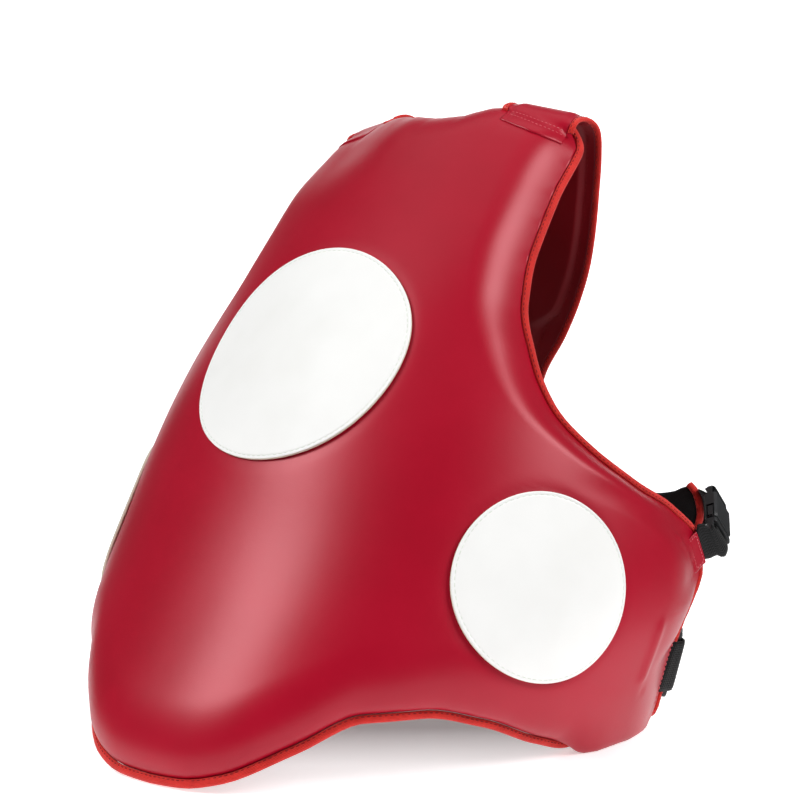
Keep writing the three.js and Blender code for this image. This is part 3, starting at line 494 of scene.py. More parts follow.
RED = leather("red_leather", srgb(158, 1, 31), srgb(165, 1, 34), srgb(171, 4, 38), 0.36, specular=0.56, tint=(1.0, 0.55, 0.58))
# darker copy of the red leather for the pad's and harness's inner faces: painted shade, as these faces sit in shadow
INNER_RED_PAINTED_SHADE = leather("inner_red_painted_shade", srgb(118, 4, 18), srgb(128, 5, 21), srgb(138, 8, 25), 0.46)
WHITE = leather("white_leather", srgb(236, 236, 233), srgb(242, 242, 240), srgb(247, 247, 245), 0.52, grain=0.12, scale=1200.0)
RAW = leather("cut_leather_edge", srgb(196, 190, 170), srgb(214, 208, 190), srgb(226, 221, 206), 0.8, grain=0.5, scale=1800.0)
TAPE = woven("binding_tape", srgb(176, 20, 18), srgb(216, 38, 32), srgb(236, 66, 54), 0.78, 3.2, 3.6)
WEB = woven("black_webbing", srgb(4, 4, 5), srgb(8, 8, 9), srgb(17, 17, 19), 0.85, 1.6, 3.2, fuzz=0.12, specular=0.1)
FELT = woven("black_band_cloth", srgb(8, 8, 9), srgb(17, 17, 19), srgb(32, 32, 35), 0.9, 5.0, 5.0, fuzz=0.6)
BLACK = plastic("black_plastic", srgb(20, 21, 23), srgb(34, 35, 38), 0.42)
# red thread made darker than the tape it sews: its red is real, its darkness is painted shade of the sunken stitch
# holes
RED_THREAD_PAINTED_SHADE = thread("red_thread_painted_shade", srgb(104, 6, 12), srgb(146, 16, 20))
PINK_THREAD = thread("pink_thread", srgb(196, 70, 84), srgb(228, 128, 134))
GREY_THREAD = thread("grey_green_thread", srgb(214, 220, 208), srgb(230, 235, 226))

# ------------------------------------------------------------------ front pad
NC, NR = 104, 150
tt = np.linspace(-1, 1, 2 * NC + 1)
ss = np.linspace(0, 1, NR)
PP, QQ = np.meshgrid(np.sign(tt) * (1 - (1 - np.abs(tt)) ** 1.45), np.where(ss < 0.5, 0.5 * (2 * ss) ** 1.5, 1 - 0.5 * (2 - 2 * ss) ** 1.5), indexing="ij")
ZZ = 20 + 440 * QQ
DD = PP * pad_side(ZZ)
for _ in range(60):
    ZZ = 0.5 * ZZ + 0.5 * (pad_bottom(DD) + (pad_top(DD) - pad_bottom(DD)) * QQ)
    DD = PP * pad_side(ZZ)


def patch_map(deg0, z0):
    """Angle and height per millimetre in a round patch laid on the pad."""
    e, h = 1.146, 5.0
    du = (pad_outer(deg0 + e, z0) - pad_outer(deg0 - e, z0)) / (2 * e)
    dv = (pad_outer(deg0, z0 + h) - pad_outer(deg0, z0 - h)) / (2 * h)
    a, b, c = du @ du, du @ dv, dv @ dv
    det = a * c - b * b
    l11 = math.sqrt(c / det)
    l21 = -b / det / l11
    return l11, l21, math.sqrt(a / det - l21 * l21)


PATCHES = [("chest_patch", 0.0, CHEST_Z, CHEST_DIA / 2), ("left_flank_patch", FLANK_ANGLE, FLANK_Z, FLANK_DIA / 2), ("right_flank_patch", -FLANK_ANGLE, FLANK_Z, FLANK_DIA / 2)]


def ridge(deg, z, a, b, wide, high):
    """Raised line on the leather between two (angle, z) places."""
    k = per_degree(np.array(a[0]), np.array(a[1]))
    px, py = (deg - a[0]) * k, z - a[1]
    dx, dy = (b[0] - a[0]) * k, b[1] - a[1]
    length = math.hypot(dx, dy)
    s = (px * dx + py * dy) / length
    off = (px * dy - py * dx) / length
    return high * np.exp(-(off / wide) ** 2) * smooth(-wide, wide, s) * smooth(-wide, wide, length - s)


# welts where a tab's end lies under the leather: from and to (angle, z), half width, height
WELTS = [((77.9, 101.0), (76.6, 57.5), 4.6, 2.1), ((78.0, 104.5), (77.8, 99.5), 3.6, 0.8), ((78.4, 51.0), (78.0, 46.0), 3.2, -1.0),
         ((84.6, 158.6), (88.6, 149.6), 2.6, 1.5), ((88.6, 150.0), (94.6, 125.0), 2.4, 0.9), ((90.6, 150.0), (96.6, 126.0), 2.4, -0.7)]


def leather_relief(deg, z):
    """How far the outer leather stands off its smooth form: soft waves, puckers beside the tape, the seat of each patch."""
    ds, db, dt = edge_distances(deg, z)
    edge = np.minimum(np.minimum(ds, db), dt)
    u = deg * 4.1
    h = 0.35 * np.sin(u / 61 + 1.3) * np.sin(z / 47 + 0.4) + 0.2 * np.sin(u / 23 - z / 31 + 2.1)
    h = h * smooth(8, 40, edge)
    run = np.where(ds < np.minimum(db, dt), z, u)
    pucker = 0.30 * np.sin(run / 2.1 + 1.1 * np.sin(run / 17.0)) + 0.22 * np.sin(run / 3.7 + 2.0)
    h = h + pucker * np.exp(-np.maximum(edge, 0) / 5.0) * smooth(0.0, 1.2, edge)
    for name, d0, z0, r in PATCHES:
        l11, l21, l22 = patch_map(d0, z0)
        x = (deg - d0) / l11
        y = (z - z0 - l21 * x) / l22
        h = h - 0.9 * np.exp(-((np.hypot(x, y) - r + 1.5) / 6.0) ** 2)
    a = np.abs(deg)
    for p, q, wide, high in WELTS:
        h = h + ridge(a, z, p, q, wide, high)
    return h


outer = pad_outer(DD, ZZ)
outer_n = across(pad_outer, DD, ZZ)
outer = outer + outer_n * leather_relief(DD, ZZ)[..., None]
outer[..., 2] = np.maximum(outer[..., 2], 0.0)
inner = pad_inner(DD, ZZ)
inner[..., 2] = np.maximum(inner[..., 2], 0.3)
M, N = PP.shape


def border(m, n):
    return ([(i, 0) for i in range(m)] + [(m - 1, j) for j in range(1, n)] + [(i, n - 1) for i in range(m - 2, -1, -1)] + [(0, j) for j in range(n - 2, 0, -1)])


rim = np.array(border(M, N))
rim_id = rim[:, 0] * N + rim[:, 1]
nxt = np.roll(rim_id, -1)
pad_faces = [grid(M, N), grid(M, N, M * N)[:, ::-1], np.stack([rim_id, M * N + rim_id, M * N + nxt, nxt], -1)]
pad_slots = np.concatenate([np.zeros(len(pad_faces[0])), np.ones(len(pad_faces[1])), np.zeros(len(pad_faces[2]))])
pad = piece("padded_front", np.vstack([outer.reshape(-1, 3), inner.reshape(-1, 3)]), pad_faces, [RED, INNER_RED_PAINTED_SHADE], slots=pad_slots)
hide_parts("front_pad")


# ------------------------------------------------------------------ bound edges
def tape(path, normals, away, w, h, closed, soften=3, near=1.1):
    """Folded tape on an edge. Returns rings, arc length, and the frame."""
    t = tangents(path, closed)
    e = np.cross(t, normals)
    e = unit(e * np.where(dot(e, away) < 0, -1, 1))
    e = unit(blur(e, soften, closed))
    n = unit(normals - dot(normals, e) * e)
    s = arc(np.vstack([path, path[:1]]) if closed else path)[:len(path)]
    prof = np.array([(0.0, near), (0.05, near + 0.62 * (h - near)), (0.12, 0.93 * h), (0.24, h), (0.42, 0.99 * h), (0.62, 0.92 * h), (0.8, 0.76 * h), (0.92, 0.5 * h), (0.985, 0.22 * h)])
    prof = np.vstack([prof, (prof * [1, -1])[::-1]])
    swell = 1 + 0.05 * np.sin(s / 0.9 + 1.5 * np.sin(s / 13.0)) + 0.03 * np.sin(s / 2.3)
    x = GAP + prof[:, 0] * w
    y = np.where(np.abs(prof[:, 1]) > near, prof[:, 1], prof[:, 1])
    rings = path[:, None] + e[:, None] * x[None, :, None] + n[:, None] * (y[None] * (1 + (swell[:, None] - 1) * (np.abs(y)[None] > 1.5)))[..., None]
    pv = np.concatenate([[0], np.cumsum(np.hypot(*np.diff(np.stack([x, y], -1), axis=0).T))])
    uv = np.stack(np.broadcast_arrays(s[:, None] / 10, pv[None] / 10), -1)
    return rings, uv, dict(s=s, e=e, n=n, t=t)


def tape_piece(name, rings, uv, closed, replaced):
    v, f = loft(rings, closed)
    uv = uv.reshape(-1, 2)
    if not closed:
        uv = np.vstack([uv, uv[:1], uv[-1:]])
    ob = piece(name, v, f, [TAPE], uv=uv)
    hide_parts(*replaced)
    return ob


rim_d, rim_z = DD[rim[:, 0], rim[:, 1]], ZZ[rim[:, 0], rim[:, 1]]
rim_p, rim_n = seam(rim_d, rim_z), across(seam, rim_d, rim_z)
ci, cj = np.clip(rim[:, 0], 4, M - 5), np.clip(rim[:, 1], 4, N - 5)
rim_away = rim_p - seam(DD[ci, cj], ZZ[ci, cj])
rings, uv, fr = tape(rim_p, rim_n, rim_away, TAPE_W, TAPE_HALF, True)
low = rings[..., 2]
rings[..., 2] = np.maximum(low, 0.05)
tape_piece("pad_binding", rings, uv, True, ["edge_binding"])
seams = []
for sgn in (1, -1):
    line = rim_p + fr["e"] * (GAP + TAPE_W * 0.3) + fr["n"] * (sgn * (TAPE_HALF + 0.02))
    c, a, n = along_line(line, fr["n"] * sgn, 4.4, True)
    seams.append(stitches(c, a, n, 2.7, 0.8, 0.6))
v, f = join(*seams)
v[:, 2] = np.maximum(v[:, 2], 0.02)
ob = piece("pad_binding_stitches", v, f, [RED_THREAD_PAINTED_SHADE])

# ------------------------------------------------------------------ round patches
SPOKES = 144
ang = np.linspace(0, 2 * math.pi, SPOKES, endpoint=False)
patch_seams = []
for name, d0, z0, R in PATCHES:
    l11, l21, l22 = patch_map(d0, z0)

    def on_patch(r, lift):
        x, y = r * np.cos(ang), r * np.sin(ang)
        dg, zz = d0 + l11 * x, z0 + l21 * x + l22 * y
        n = across(pad_outer, dg, zz)
        return pad_outer(dg, zz) + n * np.asarray(lift)[..., None], n

    groove = R - 3.0
    radii = list(np.linspace(0, R - 9, 13)[1:]) + [R - 7.0, R - 5.4, R - 4.4, R - 3.8, R - 3.4, R - 3.0, R - 2.6, R - 2.2, R - 1.5, R - 0.7, R - 0.2]
    rows = []
    for r in radii:
        lift = 2.95 - 0.35 * math.exp(-((r - groove) / 0.6) ** 2) - 0.45 * max(0.0, (r - (R - 1.0))) ** 2 + 0.12 * np.sin(3 * ang + r / 30.0) * (r / R) * 0.6
        rows.append(on_patch(r, lift + 0 * ang)[0])
    top_rows = len(rows)
    for r, lift in ((R, 2.0), (R + 0.1, 1.2), (R, 0.3), (R - 3, -0.2)):
        rows.append(on_patch(r, lift + 0 * ang)[0])
    c0 = pad_outer(np.array(d0), np.array(z0)) + across(pad_outer, np.array(d0), np.array(z0)) * 2.95
    c1 = pad_outer(np.array(d0), np.array(z0)) - across(pad_outer, np.array(d0), np.array(z0)) * 0.2
    rows = np.array(rows)
    m = len(rows)
    v = np.vstack([rows.reshape(-1, 3), c0, c1])
    j = np.arange(SPOKES)
    f_side = grid(m, SPOKES, 0, False, True)
    f_top = np.stack([np.full(SPOKES, m * SPOKES), j, (j + 1) % SPOKES], -1)
    f_low = np.stack([np.full(SPOKES, m * SPOKES + 1), (m - 1) * SPOKES + (j + 1) % SPOKES, (m - 1) * SPOKES + j], -1)
    sl = np.concatenate([np.repeat((np.arange(m - 1) >= top_rows - 1).astype(int), SPOKES), np.zeros(SPOKES), np.ones(SPOKES)])
    ob = piece("sewn_" + name, v, [f_side, f_top, f_low], [WHITE, RAW], slots=sl)
    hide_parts(name)
    line, ln = on_patch(groove, 2.66 + 0 * ang)
    c, a, n = along_line(line, ln, 5.0, True)
    patch_seams.append(stitches(c, a, n, 3.4, 0.7, 0.5))
v, f = join(*patch_seams)
ob = piece("patch_stitches", v, f, [GREY_THREAD])


# ------------------------------------------------------------------ shoulder harness
def lap_point(u, up=0.0):
    """On the pad, a share u along the strap's front end and so far up from it."""
    dg, zz = (np.interp(u, np.linspace(0, 1, len(LAP)), LAP[:, k]) for k in (0, 1))
    zz = np.minimum(zz + up, pad_top(dg) - 0.6)
    dg = dg + 0 * zz
    return pad_outer(dg, zz) + across(pad_outer, dg, zz) * 0.5


U = np.unique(np.concatenate([np.linspace(0, 0.3, 15), np.linspace(0.3, 0.7, 9), np.linspace(0.7, 1, 15)]))
inner_pts = np.vstack([lap_point(np.array(0.0)), STRAP[:, :3]])
outer_pts = np.vstack([lap_point(np.array(1.0)), STRAP[:, 3:]])
mid_s = 0.5 * (arc(inner_pts) + arc(outer_pts))
S = np.unique(np.concatenate([np.linspace(0, 26, 14), np.linspace(26, mid_s[-1], 150)]))
fi = np.stack([monotone(mid_s, inner_pts[:, k])(S) if k == 0 else natural(mid_s, inner_pts[:, k])(S) for k in range(3)], -1)
fo = np.stack([monotone(mid_s, outer_pts[:, k])(S) if k == 0 else natural(mid_s, outer_pts[:, k])(S) for k in range(3)], -1)
notch = int(np.argmax(fi[:, 0] <= 0.0))
fi[notch:, 0] = 0.0
merged = smooth(0, 24, S - S[notch] + 24)
rows = fi[:, None] + (fo - fi)[:, None] * U[None, :, None]
fade = smooth(5, 27, S)[:, None, None]
rows = lap_point(U[None], 0.75 * np.minimum(S, 30)[:, None]) * (1 - fade) + rows * fade
fi, fo = rows[:, 0].copy(), rows[:, -1].copy()
du, dv = np.gradient(rows, axis=1), np.gradient(rows, axis=0)
sn = unit(np.cross(du, dv))
um = U[None] * (1 - merged[:, None]) + (0.5 + U[None] / 2) * merged[:, None]
lap_thin = smooth(0, 45, S)[:, None]
rise = smooth(0.03, 0.16, um) * smooth(0.03, 0.16, 1 - um)
puff = smooth(0.13, 0.24, um) * smooth(0.13, 0.24, 1 - um)
top_h = 0.4 + 1.2 * lap_thin + (0.3 + 1.9 * lap_thin) * rise
low_h = 1.0 + 0.6 * lap_thin + (0.2 + 0.9 * lap_thin) * rise * 0.5 + 3.2 * puff * lap_thin * smooth(0, 60, S)[:, None] + 3.4 * (smooth(8, 22, S) * (1 - smooth(34, 60, S)))[:, None] * smooth(0.0, 0.1, um) * smooth(0.0, 0.1, 1 - um)
strap_top, strap_low = rows + sn * top_h[..., None], rows - sn * low_h[..., None]
strap_top[notch:, 0, 0] = 0.0
strap_low[notch:, 0, 0] = 0.0
sm, sk = len(S), len(U)
hb = np.array(border(sm, sk))
hid = hb[:, 0] * sk + hb[:, 1]
hnx = np.roll(hid, -1)
keep = ~((hb[:, 1] == 0) & (np.roll(hb, -1, 0)[:, 1] == 0) & (np.minimum(hb[:, 0], np.roll(hb, -1, 0)[:, 0]) >= notch))
strap_faces = [grid(sm, sk), grid(sm, sk, sm * sk)[:, ::-1], np.stack([hid, sm * sk + hid, sm * sk + hnx, hnx], -1)[keep]]
strap_v = np.vstack([strap_top.reshape(-1, 3), strap_low.reshape(-1, 3)])
v, f = join((strap_v, strap_faces), (mirrored(strap_v), [a[:, ::-1] for a in strap_faces]))
skin_of = np.concatenate([np.full(len(a), k) for a, k in zip(strap_faces, (0, 1, 0))])
harness = piece("padded_harness", v, f, [RED, INNER_RED_PAINTED_SHADE], slots=np.tile(skin_of, 2), weld=True)
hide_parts("back_harness")

edge_n = unit(sn[:, -1])
foot_z, foot_y = rows[-1, 0, 2], rows[-1, 0, 1]
foot_x = np.linspace(fo[-1, 0] - 3, -(fo[-1, 0] - 3), 24)
foot = np.stack([foot_x, np.full(24, foot_y), np.full(24, foot_z)], -1)
o0 = int(np.argmax(S > 15))
o_path = np.vstack([fo[o0:], foot, mirrored(fo[o0:])[::-1]])
o_norm = np.vstack([edge_n[o0:], np.repeat(edge_n[-1:] * [0, 1, 1], 24, 0), mirrored(edge_n[o0:])[::-1]])
o_out = (fo - rows[:, -3])[o0:]
o_away = np.vstack([o_out, np.tile([0, 0, -1.0], (24, 1)), mirrored(o_out)[::-1]])
rings, uv, fo_fr = tape(o_path, unit(o_norm), o_away, HTAPE_W, STRAP_TAPE_HALF, False, soften=2)
tape_piece("harness_outer_tape", rings, uv, False, ["harness_outer_binding"])
i0 = int(np.argmax(S > 13))
i_path = fi[i0:notch]
i_path = np.vstack([i_path, [[0, fi[notch, 1], fi[notch, 2] + 2.0]], mirrored(i_path)[::-1]])
i_norm = unit(sn[i0:notch, 0])
i_norm = np.vstack([i_norm, [[0, 1, 0]], mirrored(i_norm)[::-1]])
i_away = fi[i0:notch] - rows[i0:notch, 2]
i_away = np.vstack([i_away, [[0, 0, 1.0]], mirrored(i_away)[::-1]])
rings, uv, fi_fr = tape(i_path, i_norm, i_away, HTAPE_W, STRAP_TAPE_HALF, False, soften=2)
tape_piece("harness_inner_tape", rings, uv, False, ["harness_inner_binding"])
seams = []
for path, q in ((o_path, fo_fr), (i_path, fi_fr)):
    for sgn in (1, -1):
        line = path + q["e"] * (GAP + HTAPE_W * 0.3) + q["n"] * (sgn * (STRAP_TAPE_HALF + 0.02))
        c, a, n = along_line(line, q["n"] * sgn, 4.4)
        seams.append(stitches(c, a, n, 2.7, 0.8, 0.6))
v, f = join(*seams)
ob = piece("harness_tape_stitches", v, f, [RED_THREAD_PAINTED_SHADE])
seams = []


def on_strap(skin, si, u):
    """Point of a strap skin at a row place si and a share u across."""
    k = np.clip(np.searchsorted(U, u) - 1, 0, sk - 2)
    w = (u - U[k]) / (U[k + 1] - U[k])
    return skin[si, k] * (1 - w) + skin[si, k + 1] * w


for dist in (11.0, 17.0):
    si = int(np.argmin(np.abs(S - dist)))
    us = np.linspace(0.06, 0.94, 40)
    line = np.array([on_strap(strap_top, si, u) for u in us])
    nn = np.array([on_strap(sn, si, u) for u in us])
    c, a, n = along_line(line, nn, 3.6)
    seams += [stitches(c, a, n, 2.4, 0.8, 0.6), stitches(mirrored(c), mirrored(a), mirrored(n), 2.4, 0.8, 0.6)]
v, f = join(*seams)
ob = piece("lap_stitches", v, f, [PINK_THREAD])
seams = []
for skin, sgn, u in ((strap_low, -1, 0.115), (strap_low, -1, 0.885), (strap_top, 1, 0.09), (strap_top, 1, 0.91)):
    idx = np.arange(int(np.argmax(S > 40)), sm - 4)
    ueff = np.where(merged[idx] > 0.5, (u - 0.5) * 2, u)
    ok = (ueff > 0.02)
    idx, ueff = idx[ok], ueff[ok]
    line = np.array([on_strap(skin, i, x) for i, x in zip(idx, ueff)])
    jump = np.where(np.linalg.norm(np.diff(line, axis=0), axis=1) > 12)[0]
    if len(jump):
        line, idx = line[:jump[0] + 1], idx[:jump[0] + 1]
    nn = np.array([sn[i, sk // 2] for i in idx]) * sgn
    c, a, n = along_line(line, nn, 4.2)
    seams += [stitches(c, a, n, 2.7, 0.8, 0.6), stitches(mirrored(c), mirrored(a), mirrored(n), 2.7, 0.8, 0.6)]
v, f = join(*seams)
ob = piece("harness_stitches", v, f, [RED_THREAD_PAINTED_SHADE])

# ------------------------------------------------------------------ band across the back
bx = np.concatenate([np.linspace(-187.4, -BAND_END_X, 12)[:-1], np.linspace(-BAND_END_X, BAND_END_X, 141), np.linspace(BAND_END_X, 187.4, 12)[1:]])
btop, blow = monotone(*BAND.T)(np.abs(bx)), monotone(*BAND_UNDER.T)(np.abs(bx))
k = np.linspace(0, 1, 15)
rings = []
for x, tz, lz in zip(bx, btop, blow):
    hgt = tz - lz
    zz = lz + hgt * k
    th = BAND_T / 2 * (0.55 + 0.45 * np.minimum(1, np.minimum(k, 1 - k) * hgt / 5.0) ** 0.6)
    th = th - 0.35 * np.exp(-((np.minimum(k, 1 - k) * hgt - 5.0) / 1.0) ** 2)
    yy = BAND_Y + 0.25 * math.sin(x / 29.0)
    rings.append(np.vstack([np.stack([np.full(15, x), yy + th, zz], -1), np.stack([np.full(15, x), yy - th, zz], -1)[::-1]]))
rings = np.array(rings)
v, f = loft(rings)
uvb = np.stack(np.broadcast_arrays((bx / 10)[:, None], rings[11, None, :, 2] / 10), -1).reshape(-1, 2)
band = piece("cloth_band", v, f, [FELT], uv=np.vstack([uvb, uvb[:1], uvb[-1:]]))
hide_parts("back_band")
tape_ends = []
end_path = curve_through(np.stack([BAND_TIP[:, 0], np.full(len(BAND_TIP), BAND_Y), BAND_TIP[:, 1]], -1), n=48)
end_away = np.stack([np.ones(48), np.zeros(48), (end_path[:, 2] - 158) / 30], -1)
for sgn, nm in ((1, "left"), (-1, "right")):
    p = end_path * [sgn, 1, 1]
    rings, uv, q = tape(p, np.tile([0, 1.0, 0], (48, 1)), end_away * [sgn, 1, 1], HTAPE_W, BAND_TAPE_HALF, False, soften=0, near=1.6)
    tape_piece(nm + "_band_tape", rings, uv, False, [nm + "_band_binding"])
    for s2 in (1, -1):
        c, a, n = along_line(p + q["e"] * (GAP + HTAPE_W * 0.3) + q["n"] * (s2 * (BAND_TAPE_HALF + 0.02)), q["n"] * s2, 4.0)
        tape_ends.append(stitches(c, a, n, 2.5, 0.8, 0.6))
v, f = join(*tape_ends)
ob = piece("band_tape_stitches", v, f, [RED_THREAD_PAINTED_SHADE])


# ------------------------------------------------------------------ frames on the rear edge of a flank
def rear_edge(z):
    at = lambda q: seam(pad_side(np.array(q)), np.array(float(q)))
    o, a = at(z), unit(at(z + 4) - at(z - 4))
    n = across(seam, pad_side(np.array(float(z))), np.array(float(z)))
    e = unit(np.cross(a, n))
    e = e if e[1] > 0 else -e
    m = unit(np.cross(e, a))
    return o, a, e, m * np.sign(m @ n)


def at(f, a, e, n):
    return f[0] + f[1] * a + f[2] * e + f[3] * n


def both(name, v, f, mats, uv=None, slots=None, node_name=None):
    """A left piece and its mirror image."""
    out = []
    for sd in ("left", "right"):
        vv = v if sd == "left" else mirrored(v)
        ob = piece(f"{sd}_{name}", vv, f, mats, uv=uv, slots=slots)
        if node_name:
            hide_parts(f"{sd}_{node_name}")
        out.append(ob)
    return out


def ribbed(path, wide, w, t, cols, pitch, depth_mm, skewed=False, wider=None):
    """Webbing with cross ribs: the thickness swells at each rib."""
    s = arc(path)
    base = flat_profile(w, t, cols)
    swell = 1 + depth_mm / t * np.sin(2 * math.pi * s / pitch)
    prof = np.repeat(base[None], len(path), 0).copy()
    prof[..., 1] *= swell[:, None]
    if wider is not None:
        prof[..., 0] += wider[:, None] * (0.5 + base[None, :, 0] / w)
    rings, wd, th = strip(path, wide, prof, skewed)
    v, f = loft(rings)
    uv = np.stack(np.broadcast_arrays((s / 10)[:, None], base[None, :, 0] / 10 + 5), -1).reshape(-1, 2)
    return v, f, np.vstack([uv, uv[:1], uv[-1:]]), wd, th


upper = rear_edge(UPPER_TAB_Z)
slant = math.radians(TAB_TURN)
tab_across = upper[1] * math.cos(slant) - upper[2] * math.sin(slant)
tab_along = upper[2] * math.cos(slant) + upper[1] * math.sin(slant)
on_tab = lambda l, n, w=0.0: at(upper, 2.9, -4.0, n) + tab_along * l + tab_across * w
tab_path = curve_through([on_tab(l, n) for l, n in ((-16.5, 0.8), (-13.5, 2.8), (-10, 3.4), (-5, 3.8), (-1, 4.4), (1.6, 4.9))], n=46)
s_tab = arc(tab_path)
tab_rows = (2.3, 13.6)
prof = np.repeat(flat_profile(UPPER_TAB_W, TAB_T, 30)[None], len(tab_path), 0).copy()
for d in tab_rows:
    prof[..., 1] -= np.sign(prof[..., 1]) * 0.25 * np.exp(-((s_tab - s_tab[-1] + d) / 0.8) ** 2)[:, None]
rings, wd, th = strip(tab_path, np.repeat(tab_across[None], len(tab_path), 0), prof)
v, f = loft(rings)
both("leather_tab", v, f, [RED], node_name="upper_tab")
tab_seams = []
sign = np.sign((th * upper[3]).sum(-1)).mean()
for d in tab_rows:
    i = int(np.argmin(np.abs(s_tab - s_tab[-1] + d)))
    line = tab_path[i] + tab_across * np.linspace(-UPPER_TAB_W / 2 + 3, UPPER_TAB_W / 2 - 2, 20)[:, None] + th[i] * sign * (TAB_T / 2 - 0.1)
    c, a, n = along_line(line, np.repeat((th[i] * sign)[None], 20, 0), 3.1)
    tab_seams.append(stitches(c, a, n, 2.2, 0.9, 0.75))
idx = np.where((s_tab > s_tab[-1] - tab_rows[1]) & (s_tab < s_tab[-1] - tab_rows[0]))[0]
for w in (-UPPER_TAB_W / 2 + 3, UPPER_TAB_W / 2 - 2):
    line = tab_path[idx] + tab_across * w + th[idx] * sign * (TAB_T / 2 - 0.05)
    c, a, n = along_line(line, th[idx] * sign, 3.1)
    tab_seams.append(stitches(c, a, n, 2.2, 0.9, 0.75))

near, far = np.array(BUCKLE_NEAR), np.array(BUCKLE_FAR)
bl = unit(far - near)
bt0 = np.array([0.785, 0.619, 0])
bt0 = unit(bt0 - (bt0 @ bl) * bl)
tr = math.radians(BUCKLE_TURN)
bt = unit(bt0 * math.cos(tr) + np.cross(bt0, bl) * math.sin(tr))
bw = unit(np.cross(bt, bl))
ROUND_BAR = [(-6, 1.5), (-1.5, 3.2), (1, 3.6), (4.2, 3.4), (6.2, 1.6), (6.2, -1.6), (4.2, -3.4), (1, -3.6), (-1.5, -3.2), (-6, -1.5)]
in_buckle = lambda x, t: near + bl * x + bt * t
mix = lambda k: unit(tab_across * (1 - k) + bw * k * np.sign(bw @ upper[1]))
web_pts = [on_tab(-3.0, 3.2), on_tab(2.1, 4.6), at(upper, 2.6, 5.5, 5.4), at(upper, 1.8, 16, 7.0)] + [in_buckle(x, t) for x, t in ROUND_BAR] + [at(upper, 1.8, 18, 3.4), at(upper, 2.2, 11, 2.2)]
web_wid = [mix(k) for k in (0, 0, 0.15, 0.5, 0.9, 1, 1, 1, 1, 1, 1, 1, 1, 0.9, 0.5, 0.3)]
wp, ww = curve_through(web_pts, step=0.45, extra=(web_wid,))
s_web = arc(wp)
s_bar = s_web[int(np.argmin(np.linalg.norm(wp - in_buckle(-1.5, 3.2), axis=1)))]
v, f, uv, _, _ = ribbed(wp, unit(ww), WEB_W, WEB_T, 14, 2.1, 0.3, True, 9.5 * smooth(2, 14, s_web) * (1 - smooth(s_bar, s_bar + 3, s_web)))
both("side_webbing", v, f, [WEB], uv=uv, node_name="webbing")

wb = BAND_Y + BAND_TAPE_HALF + 0.7 + WEB_T / 2
bw_up = bw * np.sign(bw[2])
lift = lambda k: unit(np.array([0, 0, 1.0]) * (1 - k) + bw_up * k)
BACK_BAR = [(1.2, -7.6), (4.9, -3.4), (6, 1.6), (4.2, 3.5), (1, 3.7), (-1.5, 2.6), (-2.3, 0), (-1.9, -2.6), (-1.2, -5.2)]
back_pts = [np.array([134, wb, 153.5]), np.array([171, wb, 157]), np.array([189, wb + 4.4, 158])] + [in_buckle(BUCKLE_LEN - x, t) for x, t in BACK_BAR]
back_wid = [lift(k) for k in [0, 0, 0.06, 0.9] + [1] * 8]
wp, ww = curve_through(back_pts, step=0.45, extra=(back_wid,))
v, f, uv, _, _ = ribbed(wp, unit(ww), WEB_W, WEB_T, 12, 1.9, 0.22)
both("band_webbing", v, f, [WEB], uv=uv, node_name="back_webbing")


def bevelled(node_name, name, width, segments=3):
    """Moulded copy of a hard node, with rounded edges."""
    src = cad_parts[node_name]
    me = src.data.copy()
    me.name = name
    bm = bmesh.new()
    bm.from_mesh(me)
    bmesh.ops.remove_doubles(bm, verts=bm.verts, dist=1e-6)
    bmesh.ops.dissolve_limit(bm, angle_limit=math.radians(2), verts=bm.verts, edges=bm.edges)
    bm.to_mesh(me)
    bm.free()
    me.materials.clear()
    me.materials.append(BLACK)
    ob = bpy.data.objects.new(name, me)
    scene.collection.objects.link(ob)
    mod = ob.modifiers.new("round", "BEVEL")
    mod.width, mod.segments, mod.limit_method, mod.angle_limit = width, segments, "ANGLE", math.radians(35)
    mod.use_clamp_overlap = True
    me.polygons.foreach_set("use_smooth", np.zeros(len(me.polygons), bool))
    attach(ob, "root")
    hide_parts(node_name)
    return ob


for sd in ("left", "right"):
    bevelled(f"{sd}_buckle_male", f"{sd}_buckle_plug", 0.0006)
    bevelled(f"{sd}_buckle_female", f"{sd}_buckle_socket", 0.0008)

# ------------------------------------------------------------------ lower tab, ring and belt
lower = rear_edge(RING_Z)
turn, bar_e, wrap = math.radians(RING["turn"]), 12.4, 5.6
tab_pts = [(-6.5, 1.2), (-3.7, 3.4), (0.5, 4.6), (5, 5.1), (7.6, 5.5)] + [(bar_e + wrap * math.cos(math.radians(d)), wrap * math.sin(math.radians(d))) for d in (60, 20, -20, -60)] + [(7.6, -TAPE_HALF - 2.3), (2.5, -TAPE_HALF - 2.8), (-1, -TAPE_HALF - 4.2)]
tab_wid = [unit(lower[1] + lower[2] * k * np.sign(lower[1][2])) for k in [0.19, 0.19, 0.17, 0.1, 0.05] + [0.0] * 7]
low_path, low_wid = curve_through([at(lower, 0, e, n) for e, n in tab_pts], step=0.5, extra=(tab_wid,))
v, f, uv, _, _ = ribbed(low_path, unit(low_wid), LOWER_TAB_W, TAB_T, 16, 2.3, 0.22, True)
both("ring_tab", v, f, [WEB], uv=uv, node_name="lower_tab")
sew_z = np.linspace(RING_Z - LOWER_TAB_W / 2 - 2, RING_Z + LOWER_TAB_W / 2 + 2, 26)
sew_d = pad_side(sew_z) - (5.8 - 0.19 * (sew_z - RING_Z)) / per_degree(pad_side(sew_z), sew_z)
line, nn = pad_outer(sew_d, sew_z), across(pad_outer, sew_d, sew_z)
c, a, n = along_line(line + nn * 0.25, nn, 4.0)
tab_seams.append(stitches(c, a, n, 2.7, 1.0, 0.8))
v, f = join(*tab_seams)
both("tab_stitches", v, f, [PINK_THREAD])

